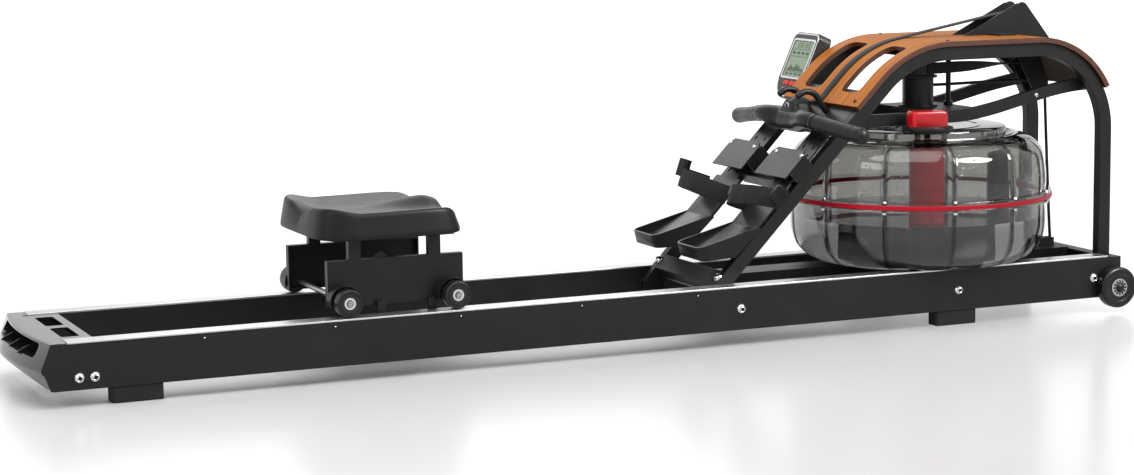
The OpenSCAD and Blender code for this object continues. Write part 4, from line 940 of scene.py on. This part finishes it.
# %% Seat rollers
ROLLER_Z = 132.3
tyre = [(10.8, -11), (22, -11), (23.6, -9.6), (24, -8), (24, 8), (23.6, 9.6), (22, 11), (19.6, 11),
        (19.1, 10.2), (18.4, 10.2), (17.9, 11), (11.2, 11), (10.8, 10.4), (10.8, 8)]
ring = [(6.0, 7), (6.0, 10.4), (6.5, 10.9), (10.1, 10.9), (10.6, 10.4), (10.6, 7)]
for row, x in (("rear", SEAT_X - 98.5), ("front", SEAT_X + 98.5)):
    for side, s in NEAR_AND_FAR:
        body, way, hub = f"{row}_{side}_roller", (0, s, 0), place(x, s * RAIL_MIDDLE, ROLLER_Z)
        make_piece(f"{body}_tyre", [loop(revolve(tyre, 64, hub, way))], roller_rubber, body,
                   stands_for=(f"roller_{row}_{side}",), sharp=25)
        make_piece(f"{body}_bearing", [loop(revolve(ring, 48, hub, way))], bearing_metal, body,
                   "bright_bolts", sharp=25)
        screw = dome_bolt(place(x, s * 165.2, ROLLER_Z), way, 11, 3.2)
        make_piece(f"{body}_screw", [screw], dark_plastic, "seat", "steel", sharp=28)
print("rollers ready")

# %% [markdown]
# ## Drive belt and recoil cord
# The belt is flat webbing that runs from the handle over the bend, over the horn's pulley, under
# the idler, and twists a quarter turn on its way to the drum. It is one section carried along
# that line. The short run before the arch belongs to the handle as much as to the frame, so it
# is a piece of its own that stretches between the two. The cord is a braided round rope along
# the line that the solids follow.

# %% The belt
HORN_AT, IDLER_AT = np.array([TANK_X + 211, ARCH_TOP + 31]), np.array([TANK_X + 233, ARCH_TOP - 25])
BELT_WIDTH, BELT_THICK, BELT_GAP = 22.0, 2.5, 0.3
PANEL_THICK, PULLEY, SPOOL = 10.0, 22.0, 31.0
belt_off = BELT_THICK / 2 + BELT_GAP
over_panel, run_radius = PANEL_THICK + belt_off, PULLEY + belt_off
bend_radius = REAR_BEND + over_panel
horn_way, drop_way = HORN_AT - REAR_BEND_AT, IDLER_AT - HORN_AT
# the belt leaves the bend at the angle lift, and the horn's pulley at the angle drop
lift = (math.atan2(horn_way[1], horn_way[0])
        + math.acos((bend_radius - run_radius) / np.linalg.norm(horn_way)))
drop = math.atan2(drop_way[1], drop_way[0]) + math.pi / 2


def woven(name, path, section, side, width, finish, **named):
    """A ribbon or rope along a path. Its flat coordinates are the metres along it and round it."""
    rings = sweep(path, section, side)
    middle = rings.mean(1)
    run = np.concatenate([[0], np.cumsum(np.linalg.norm(np.diff(middle, axis=0), axis=1))])
    round_it = np.linspace(0, 2 * width / 1000, rings.shape[1], endpoint=False)
    return make_piece(name, [loft(rings)], finish,
                      uv=np.stack(np.meshgrid(run, round_it, indexing="ij"), -1), **named)


belt_section = rounded(BELT_WIDTH, BELT_THICK, 0.9, 3)
clip = np.array([LEG_FOOT[0] + 264, ARCH_TOP - 102.4])
lead = smooth_path([clip, clip + (14, 1.4), slope_xz(LEG_LENGTH - 61, over_panel),
                    slope_xz(LEG_LENGTH - 30, over_panel)], 10)
lead_path = side_view(lead, 0)
belt_lead = woven("belt_to_handle", lead_path, belt_section, (0, 1, 0), BELT_WIDTH, belt_web,
                  body=None, slot="webbing")
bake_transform(belt_lead)
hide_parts("drive_belt")

flat = np.vstack([slope_xz(LEG_LENGTH - 34, over_panel), slope_xz(LEG_LENGTH - 20, over_panel),
                  arc(REAR_BEND_AT, bend_radius, math.pi / 2 + LEG_SLOPE, lift, 24)[1:],
                  arc(HORN_AT, run_radius, lift, drop, 20),
                  arc(IDLER_AT, run_radius, drop, -math.pi / 2, 26)])
steps = np.linspace(0, 1, 40)[1:]
twist_start, twist_end = IDLER_AT[0] - 8, TANK_X + 3.0
belt_path = np.vstack([side_view(flat, 0), place(twist_start + (twist_end - twist_start) * steps,
                                                 -(SPOOL + belt_off) * steps,
                                                 IDLER_AT[1] - run_radius)])
twist = np.concatenate([np.zeros(len(flat)), ease(steps * 1.2) * math.pi / 2])[:, None]
belt_side = np.cos(twist) * (0, 1, 0) + np.sin(twist) * (0, 0, -1)
woven("drive_belt_run", belt_path, belt_section, belt_side, BELT_WIDTH, belt_web,
      stands_for=("drive_belt",))
print("belt in view, metres:", round(path_length(lead_path), 3), round(path_length(belt_path), 3))

# %% The recoil cord
cord_line = smooth_path([
    (0, 33.4, 436), (73, 25, 436.4), (153, 15, 438), (233, 5, 439), (262, 1.2, 439.3),
    (273, 0, 439.3), (284, 0, 435), (288.5, 0, 425), (290, 0, 400), (292, 0, 360), (298.5, 0, 240),
    (305, 0, 135), (308.4, 0, 108), (306.4, 0, 101.2), (301, 0, 96.2), (293, 0, 94.6),
    (278, 0, 94.5), (240, 0, 94.5), (-447, 0, 94.5)], 8)
cord_path = place(TANK_X + cord_line[:, 0], cord_line[:, 1], cord_line[:, 2])
woven("recoil_cord_braid", cord_path, circle(3.0, 20), (0, 1, 0), 9.4, cord_braid,
      stands_for=("recoil_cord",))
print("cord length, metres:", round(path_length(cord_path), 3))

# %% [markdown]
# ## Wood panel
# The panel is the solid with soft edges. Each corner of each face gets flat coordinates: the
# distance along the bend, and across it for the two faces or through it for the cut edges. So
# the grain bends with the panel, and the cut edges show the layers.

# %% The wood panel


def along_arch(points):
    """Distance along the arch's outer face from where its leg starts to bend, and height off it."""
    p = points[:, ::2] * 1000 + (MIDDLE_X, 0)
    top_start = LEG_SLOPE * REAR_BEND
    from_rear, from_front = p - REAR_BEND_AT, p - FRONT_BEND_AT
    up_leg = from_rear @ LEG_UP
    rear_angle, front_angle = (np.arctan2(way[:, 1], way[:, 0]) for way in (from_rear, from_front))
    zones = [up_leg < 0, p[:, 0] < REAR_BEND_AT[0], p[:, 0] > FRONT_BEND_AT[0]]
    run = np.select(zones, [up_leg, (math.pi / 2 + LEG_SLOPE - rear_angle) * REAR_BEND,
                            top_start + FRONT_BEND_AT[0] - REAR_BEND_AT[0]
                            + (math.pi / 2 - front_angle) * FRONT_BEND],
                    top_start + p[:, 0] - REAR_BEND_AT[0])
    off = np.select(zones, [from_rear @ LEG_OFF - REAR_BEND,
                            np.linalg.norm(from_rear, axis=1) - REAR_BEND,
                            np.linalg.norm(from_front, axis=1) - FRONT_BEND],
                    p[:, 1] - ARCH_TOP)
    return run, off


wood = soften("wood_panel", wood_face, 1.2)
wood.data.materials.append(wood_edge)
wood.data.materials.append(wood_under)
wood_points = np.array([v.co for v in wood.data.vertices])
wood_run, wood_off = along_arch(wood_points)
half_way = (wood_off.min() + wood_off.max()) / 2
uv_layer = wood.data.uv_layers.new(name="UVMap")
for face in wood.data.polygons:
    at = list(face.vertices)
    is_cut = np.ptp(wood_off[at]) > 5
    face.material_index = 1 if is_cut else 2 if wood_off[at].mean() < half_way else 0
    second = wood_off[at] / 1000 if is_cut else wood_points[at, 1]
    for corner, a, b in zip(face.loop_indices, wood_run[at] / 1000, second):
        uv_layer.data[corner].uv = (a, b)
print("wood faces:", len(wood.data.polygons))

# %% [markdown]
# ## Foot rests
# Each heel cup is a deep moulding on a folded plate with a slotted strip. The solid's form is
# kept. Its flat faces get the satin grey of the plate, and the cup stays dark. The straps are
# webbing bent over the foot, so they are a ribbon carried along the same bent line, and each has
# a moulded piece at its outer end: a ribbed buckle on the near one, a roll and a tab on the far.

# %% Heel rests and straps
HEEL_TOP, STRAP_Y, STRAP_REACH = 12.0, 96.5, 50.0
STRAP_EDGE = STRAP_Y + STRAP_REACH
STRAP_WAY = unit([LEG_UP[0] * 0.35, 0, LEG_UP[1]])


def worn_plate():
    """Satin grey where the foot lies, and black from the strip's first slots on."""
    finish = Finish("heel_plate", Specular_IOR_Level=0.22)
    along = finish.node("ShaderNodeVectorMath",
                        {0: finish.place, 1: (LEG_UP[0], 0, LEG_UP[1])},
                        operation="DOT_PRODUCT").outputs["Value"]
    up = finish.maths("SUBTRACT", along, (LEG_FOOT - (MIDDLE_X, 0)) @ LEG_UP / 1000)
    finish.use("Base Color", finish.ramp(up, (0.222, seen(44, 43, 41)), (0.24, seen(19, 19, 19))))
    finish.use("Roughness", finish.span(finish.noise(26.0), 0.32, 0.4))
    finish.bump((finish.noise(1700.0, 2.0), 0.012))
    return finish.material


def on_heel_plate(face):
    """Whether a face lies on the plate: low over the leg, above its foot, and not on a side."""
    middle = np.array(face.center) * 1000 + (MIDDLE_X, 0, 0)
    from_foot = middle[::2] - LEG_FOOT
    return (from_foot @ LEG_OFF < HEEL_TOP + 0.6 and from_foot @ LEG_UP > 128
            and abs(face.normal.y) < 0.9)


def strap_line(rise, lean, slant):
    """Across, off the leg and up the leg: a flattened half loop that is steep on its high side.

    The power of the sine goes from 0.4 on the high side to 1 on the other, the height changes by
    lean from side to side, and the loop slopes up the leg towards its outer side by slant. Away
    from the leg it sinks, because the loop hangs level.
    """
    a = np.linspace(0, math.pi, 61)
    c, s = np.cos(a), np.sin(a)
    off = rise * s ** (0.7 - 0.3 * np.sign(lean) * c) * (1 + lean * c)
    return (STRAP_REACH * np.sign(c) * np.abs(c) ** 0.75 + 20 * lean * s, HEEL_TOP + off,
            186 + slant * c - 0.45 * off)


def buckle_block(shape, u, *rings):
    """Outline beside the near strap, from how far out each ring lies and its size."""
    return loft([on_leg(u + size * shape[:, 0], -(STRAP_EDGE + out + 2.4),
                        HEEL_TOP + 10 + size * shape[:, 1]) for out, size in rings])


heel_plate = worn_plate()
buckle_ribs = [buckle_block(rounded(2.6, 26, 1.2, 4), u, (6.5, 1.0), (8.0, 1.0), (8.8, 0.7))
               for u in 189 + 5 * np.arange(5)]
near_buckle = [buckle_block(rounded(34, 34, 9, 6), 199, (0.0, 0.9), (1.2, 1.0), (5.0, 1.0),
                            (7.0, 0.88)), *buckle_ribs]
strap_roll = loop(revolve([(7.5, 0), (11.6, 0), (12.2, 0.6), (12.2, 33.4), (11.6, 34), (7.5, 34)],
                          40, on_leg(166, STRAP_EDGE - 4, HEEL_TOP + 56), STRAP_WAY))
tab = rounded(30, 34, 4, 5)
strap_tab = loft([on_leg(176 + tab[:, 0], STRAP_EDGE + out + 0.06 * (17 - tab[:, 1]),
                         HEEL_TOP + 27 + tab[:, 1]) for out in (1.8, 4.2)])
for side, _ in NEAR_AND_FAR:
    two_finishes(soften(f"heel_{side}", dark_plastic), heel_plate, on_heel_plate)
for (side, s), bend, end_piece in zip(NEAR_AND_FAR, ((42, -0.3, 10), (56, 0.3, 6)),
                                      (near_buckle, [strap_roll, strap_tab])):
    over, off, up = strap_line(*bend)
    woven(f"strap_{side}_webbing", on_leg(up, s * (STRAP_Y + over), off),
          rounded(36, 2.8, 1.1, 3), STRAP_WAY, 36, strap_web, body=f"{side}_foot_rest",
          stands_for=(f"strap_{side}",))
    make_piece(f"strap_{side}_buckle", end_piece, dark_plastic, f"{side}_foot_rest", "webbing",
               bevel=0.4)
print("straps made")

# %% [markdown]
# ## Handle and hooks
# The handle is moulded round a bar: soft grips, slightly thicker near their ends, and a heavy
# middle with a hump where the belt's clip is held. Round sections are carried along the bar, and
# their radius changes with the place across the machine. A formula, unlike sculpting, keeps both
# sides alike. The hooks are bent bars with a rubber sleeve and round ends.

# %% Handle
BAR_X, BAR_Z = LEG_FOOT[0] + 233, ARCH_TOP - 135
GRIP_IN = np.array([LEG_FOOT[0] + 219, 110, 391])
GRIP_WAY = unit([27, 143, -17])
GRIP_END, GRIP_DOME = 240, 12.5


def bar_at(y):
    """Middle line of the handle: smooth through the middle, then straight along each grip."""
    out = np.abs(y)
    grip = GRIP_IN + ((out - GRIP_IN[1]) / GRIP_WAY[1])[:, None] * GRIP_WAY
    middle = np.stack([np.full(len(y), BAR_X), out, np.full(len(y), BAR_Z)], 1)
    share = ease((out - 25) / 70)[:, None]
    line = middle * (1 - share) + grip * share
    return place(line[:, 0], np.sign(y) * out, line[:, 2])


def along_bar(y, radius, sides):
    """Round skin about the handle's middle line, with a radius at each place across."""
    middle = bar_at(y)[:, None]
    rings = sweep(middle[:, 0], circle(1.0, sides), (0, 0, 1))
    return loft(middle + (rings - middle) * radius[:, None, None])


def groove(y, at, width):
    """How deep a narrow bell-shaped groove is, from 0 to 1: it falls off as exp(-square)."""
    return np.exp(-((y - at) / width) ** 2)


grip_y = np.concatenate([np.linspace(112, GRIP_END, 30), GRIP_END
                         + GRIP_DOME * np.sin(np.linspace(0.12, 1, 9) * math.pi / 2)])
grip_radius = 14.6 + 0.9 * ease((grip_y - 200) / 30) - 1.1 * groove(grip_y, 222, 2.2)
dome = 15.5 * np.sqrt(np.clip(1 - ((grip_y - GRIP_END) / 12.9) ** 2, 0, 1))
grip_radius = np.where(grip_y > GRIP_END, dome, grip_radius)
make_piece("handle_grips", [along_bar(s * grip_y, grip_radius, 48) for s in (-1, 1)],
           grip_rubber, "handle", stands_for=("grips",), sharp=50)
body_y = np.linspace(-113, 113, 121)
body_out = np.abs(body_y)
body_radius = 15.8 + 6.4 * ease((96 - body_out) / 70) - 1.2 * groove(body_out, 104, 2.0)
hump = []
for t in np.linspace(0, 1, 28):
    shrink = math.sqrt(max(1 - max((t - 0.72) / 0.285, 0) ** 2, 0.0))
    section = rounded((44 - 5 * t) * shrink + 0.2, (126 - 92 * t ** 0.55) * shrink + 0.2,
                      (19 - 7 * t) * shrink, 9)
    hump.append(from_above(section, BAR_X + 2 + 9 * t, 0, BAR_Z + 44 * t))
clip_box = rounded(12, 16, 3, 5)
tongue = [place(x, clip_box[:, 1], ARCH_TOP - 102 + clip_box[:, 0] * 0.42)
          for x in (BAR_X + 8, clip[0] + 3.5)]
make_piece("handle_body", [along_bar(body_y, body_radius, 56), loft(hump), loft(tongue)],
           dark_plastic, "handle", stands_for=("handle",), sharp=50)
link_turn, wire = circle(1.0, 48), circle(1.3, 16) / 1000
link_path = place(BAR_X - 12.5, 6.5 * link_turn[:, 0], ARCH_TOP - 108 + 5 * link_turn[:, 1])
link_out = np.cross(unit(np.roll(link_path, -1, 0) - np.roll(link_path, 1, 0)), (1, 0, 0))
link = link_path[:, None] + wire[:, :1] * (1, 0, 0) + wire[:, 1:] * link_out[:, None]
make_piece("handle_clip", [loop(link)], zinc, "handle", "bright_bolts")
print("handle made")

# %% Hooks


def round_rod(path, radius, sides):
    """A tube along a path whose ends are domes: rings that get smaller along a quarter circle."""
    rings = sweep(path, circle(radius, sides), (0, 1, 0.001))
    quarter = np.linspace(0, math.pi / 2, 7)

    def end_dome(end, inner, turns):
        """Rings whose size is an angle's cosine, and whose way out is its sine."""
        way = unit(path[end] - path[inner]) * radius / 1000
        return [path[end] + (rings[end] - path[end]) * math.cos(a) + way * math.sin(a)
                for a in turns]

    return loft(np.concatenate([end_dome(0, 1, quarter[:0:-1]), rings,
                                end_dome(-1, -2, [*quarter[1:-1], 0.98 * quarter[-1]])]))


hook_line = smooth_path(np.array(slope_xz(LEG_LENGTH - 84, 0)) + [
    (0, 0), (-6, 6), (-12, 14), (-17, 22.5), (-22.5, 30.5), (-30, 36.5), (-39, 39.8), (-48, 40),
    (-56, 37.5), (-62, 33)], 6)
make_piece("handle_hooks_sleeved",
           [round_rod(side_view(hook_line, y), 6.0, 28) for y in (-35, 35)], grip_rubber,
           stands_for=("handle_hooks",), sharp=50)
print("hooks made")

# %% [markdown]
# ## Tank and what it holds
# The tank is two clear mouldings that meet at flanges with a red seal between them. Each is a
# turned profile, outer wall and inner wall, so light is bent by a real thickness. Twelve ribs
# stand on the wall, one above and one below each bolt: the radius grows a little at those
# angles. The water touches the wall, so it reaches a hair into it, with no film of air between.

# %% Tank shells and water
TANK_SIDES, WATER_LEVEL = 720, 196.3
tank_axis = place(TANK_X, 0, 0)
tank_angle = np.linspace(0, 360, TANK_SIDES, endpoint=False)
rib_wave = 2.4 * groove(np.mod(tank_angle, 30), 15, 0.85)


def tank_shell(name, outer, inner, finish, low, high, stands_for):
    """Turned shell with ribs on the outer wall between two heights."""
    rim = outer[:1] if outer[0, 0] > 0 else outer[:0]
    profile = np.vstack([outer, inner[::-1], rim])
    skin, faces = turned(profile, TANK_SIDES, tank_axis)
    away = skin * (1, 1, 0) - tank_axis
    way = away / np.maximum(np.linalg.norm(away, axis=-1, keepdims=True), 1e-6)
    rise = (ease((profile[:, 1] - low) / 14) * ease((high - profile[:, 1]) / 14)
            * (np.arange(len(profile)) < len(outer)))
    skin = skin + way * (rise[:, None] * rib_wave)[..., None] / 1000
    make_piece(name, [(skin, faces)], finish, stands_for=(stands_for,), sharp=40)


lower_out = np.vstack([(0, 108), smooth_path([
    (150, 108), (189, 108), (199, 110), (211, 115), (221, 122), (229, 130), (236, 141),
    (241, 155), (244, 170), (245, 188), (245, 224)], 4),
    (255, 224), (255.4, 224.5), (255.4, 228), (255, 228.5)])
lower_in = np.vstack([(0, 112), smooth_path([
    (150, 112), (189, 112), (198, 114), (209, 118.5), (218, 125), (225, 133), (231, 143.5),
    (236, 157), (240, 171), (241, 188), (241, 228.5)], 4)])
upper_out = np.vstack([(255, 237.5), (255.4, 238), (255.4, 241.5), (255, 242), smooth_path([
    (245, 242), (245, 270), (243, 292), (240, 311), (235, 322), (226, 332), (213, 342),
    (195, 349.5), (183, 350.5)], 4),
    (182, 352.5), (178, 352.5), (177, 350), (173, 345), (168.5, 345), (168, 346), (168, 359.5),
    (166.5, 363), (163, 364), (120, 364), (119, 365), (114, 365), (113, 364), (8, 364)])
upper_in = np.vstack([smooth_path([
    (241, 237.5), (241, 270), (239, 292), (236, 310), (231.5, 319.5), (223, 329), (210, 338),
    (194, 341), (180, 341)], 4), (164, 341), (164, 360), (8, 360)])
tank_shell("tank_lower_shell", lower_out, lower_in, tank_lower_clear, 128, 222, "tank_lower")
tank_shell("tank_upper_shell", upper_out, upper_in, tank_upper_clear, 246, 344, "tank_upper")
seal = [(241.5, 228.8), (255.5, 228.8), (256.6, 230), (256.6, 236), (255.5, 237.2), (241.5, 237.2)]
make_piece("tank_seal_band", [loop(revolve(seal, 360, tank_axis))], seal_red,
           stands_for=("tank_seal",), sharp=40)
wetted = lower_in[lower_in[:, 1] < WATER_LEVEL - 1.3] + (0.3, -0.3)
water_profile = np.vstack([wetted, (241.3, WATER_LEVEL), (0, WATER_LEVEL)])
water_profile[0, 0] = 0
make_piece("tank_water", [turned(water_profile, 240, tank_axis)], water_clear,
           stands_for=("water",), sharp=50)
print("tank profiles:", len(lower_out), len(upper_out), len(water_profile), "points")

# %% [markdown]
# Inside stand the red tube of the level selector and the dark filler tube. On the lid the
# selector has a black rim and a red block with soft corners. All but the block are turned, and
# the block is a stack of outlines that get smaller near its top.

# %% Tubes and selector
SELECTOR_X, SELECTOR_Y = TANK_X - 67, -145.0
selector_at = place(SELECTOR_X, SELECTOR_Y, 0)


def spun(shape, angle):
    """An outline turned about its middle."""
    c, s = math.cos(angle), math.sin(angle)
    return shape @ [[c, s], [-s, c]]


make_piece("selector_tube_red", [turned([(0, 196), (33, 196), (33, 340.7), (30, 340.7), (30, 199),
                                         (0, 199)], 72, selector_at)],
           tube_red, stands_for=("selector_tube",))
make_piece("selector_tube_foot", [turned([(0, 121), (32.5, 121), (32.5, 195.8), (0, 195.8)], 72,
                                         selector_at)], tube_dark, slot="tube_red")
make_piece("filler_tube_dark", [turned([(0, 115), (20, 115), (22, 117), (22, 296), (21.4, 302),
                                        (19, 308), (14, 311.6), (0, 312)], 72,
                                       place(TANK_X + 178, -10, 0))],
           tube_dark, stands_for=("filler_tube",))
rim = [(6, 345), (6, 364.4), (37, 364.4), (37, 369), (46, 369.4), (48.4, 370), (49, 372),
       (48.4, 374.4), (46.5, 375.3), (38, 375.6), (37, 377), (0, 377)]
make_piece("selector_rim", [turned(rim, 96, selector_at)], dark_plastic, "selector",
           stands_for=("selector_knob",))
block = spun(rounded(72, 42, 9, 8), math.radians(-12))
make_piece("selector_block", [loft([from_above(size * block, SELECTOR_X, SELECTOR_Y, z)
                                    for z, size in ((375.2, 0.95), (376.2, 1.0), (400, 0.985),
                                                    (403, 0.96), (404.6, 0.9), (404.8, 0.4))])],
           selector_red, "selector", "selector_red", bevel=0.6, sharp=50)
print("selector made")

# %% [markdown]
# ## Console
# The console's shell and keys are the solids with soft edges. Two bright frames are laid on its
# face, one round the display and one round the outline. The display shows plain bars and
# segments without any words. They are thin blocks, as a picture of them would be a texture.

# %% Console face
HINGE_ANGLE, CONSOLE_Y, LEAN = math.radians(121.4), 200.0, math.radians(24)
HINGE = REAR_BEND_AT + 189.0 * np.array([math.cos(HINGE_ANGLE), math.sin(HINGE_ANGLE)])
CORNERS, DISPLAY_AT, MARK_DEPTHS = (13.0, 13.0, 38.0, 38.0), (0, 13), (0.55, 0.8)


def on_console(depth, shape):
    """Points on the console: depth in from its face, for an outline across and up the face."""
    into, up = depth - 36, shape[:, 1] - 26
    return place(HINGE[0] + into * math.cos(LEAN) + up * math.sin(LEAN), CONSOLE_Y + shape[:, 0],
                 HINGE[1] - into * math.sin(LEAN) + up * math.cos(LEAN))


def face_block(width, height, corner, middle, depths=MARK_DEPTHS):
    """A flat block on the face: an outline with round corners between two depths."""
    return loft([on_console(depth, rounded(width, height, corner, 4) + middle)
                 for depth in depths])


def face_frame(name, outer, inner, low, high):
    """A flat bright frame between two outlines with the same number of points."""
    rings = [on_console(depth, shape) for depth, shape in
             ((high, outer), (low, outer), (low, inner), (high, inner))]
    make_piece(name, [loop(np.stack(rings))], bezel_metal, "console", "bright_bolts", bevel=0.3)


face_frame("console_outer_bezel", outline(50.5, 66.5, CORNERS, 14),
           outline(47.9, 63.9, CORNERS, 14), -0.5, 1.0)
face_frame("console_window_bezel", rounded(88, 84, 6) + DISPLAY_AT,
           rounded(80, 76, 4) + DISPLAY_AT, -0.7, 0.6)
make_piece("console_display", [face_block(77.4, 73.4, 2, DISPLAY_AT, (0.7, 1.15))], glass_green,
           "console", "console_shell")
marks = [face_block(70, 1.0, 0.4, (0, y)) for y in (33, 18, -14)]
segments = [(0, y, 5, 1.2) for y in (5, 0, -5)] + [(x, y, 1.2, 4) for x in (-3, 3)
                                                   for y in (2.5, -2.5)]
marks += [face_block(width, height, 0.4, (digit + x, 41.5 + y))
          for digit in (-24, -12, 4, 16) for x, y, width, height in segments]
marks += [face_block(3.6, height, 0.3, (-30 + 5 * k, -12 + height / 2))
          for k, height in enumerate((4, 7, 5, 9, 13, 10, 15, 9, 6, 8, 12, 7, 4))]
marks += [face_block(11, height, 0.4, (x, y)) for x in (-26, -9, 9, 26)
          for y, height in ((-18.5, 3.4), (25.5, 5.0))]
make_piece("console_segments", marks, glass_ink, "console", "console_shell")
print(len(marks), "marks on the display")

# %% [markdown]
# ## Transport wheels
# A wheel is a turned tyre with a rounded tread, a pale hub ring with twelve oblong slots, and the
# bolt's dome in the middle. The slots are dark blocks let into the ring's face: painted shade of
# the holes over the dark wheel behind them. Cuts would look the same from outside, and blocks
# leave the ring's mesh clean.

# %% Transport wheels
WHEEL_X, WHEEL_Y, WHEEL_Z = RAIL_LENGTH - 19, 174, 48
tyre = np.vstack([[(5.2, 0), (30, 0)], arc((33.5, 6.0), 6.0, -math.pi / 2, 0, 8),
                  arc((33.5, 18.0), 6.0, 0, math.pi / 2, 8),
                  [(29, 24), (26, 22.6), (24, 21.8), (5.2, 21.8)]])
ring = [(6.5, 21), (6.5, 23.0), (7.0, 23.5), (16.6, 23.5), (17.2, 23.0), (17.2, 21)]
slots = [spun(rounded(6.0, 3.7, 1.5) + (12.0, 0), k * math.pi / 6) for k in range(12)]
for side, s in NEAR_AND_FAR:
    body, way, hub = f"{side}_wheel", (0, s, 0), place(WHEEL_X, s * WHEEL_Y, WHEEL_Z)
    make_piece(f"{body}_tyre", [loop(revolve(tyre, 120, hub, way))], tyre_rubber, body,
               stands_for=(f"wheel_{side}",), sharp=30)
    make_piece(f"{body}_hub", [loop(revolve(ring, 96, hub, way))], hub_grey, body,
               "black_plastic", sharp=30)
    # the slots' dark blocks are painted shade of the holes, over the dark wheel behind them
    make_piece(f"{body}_slots", [loft([place(WHEEL_X + slot[:, 0], s * (WHEEL_Y + out),
                                             WHEEL_Z + slot[:, 1]) for out in (22.0, 23.65)])
                                 for slot in slots], dark_plastic, body, "black_plastic")
print("wheels made")
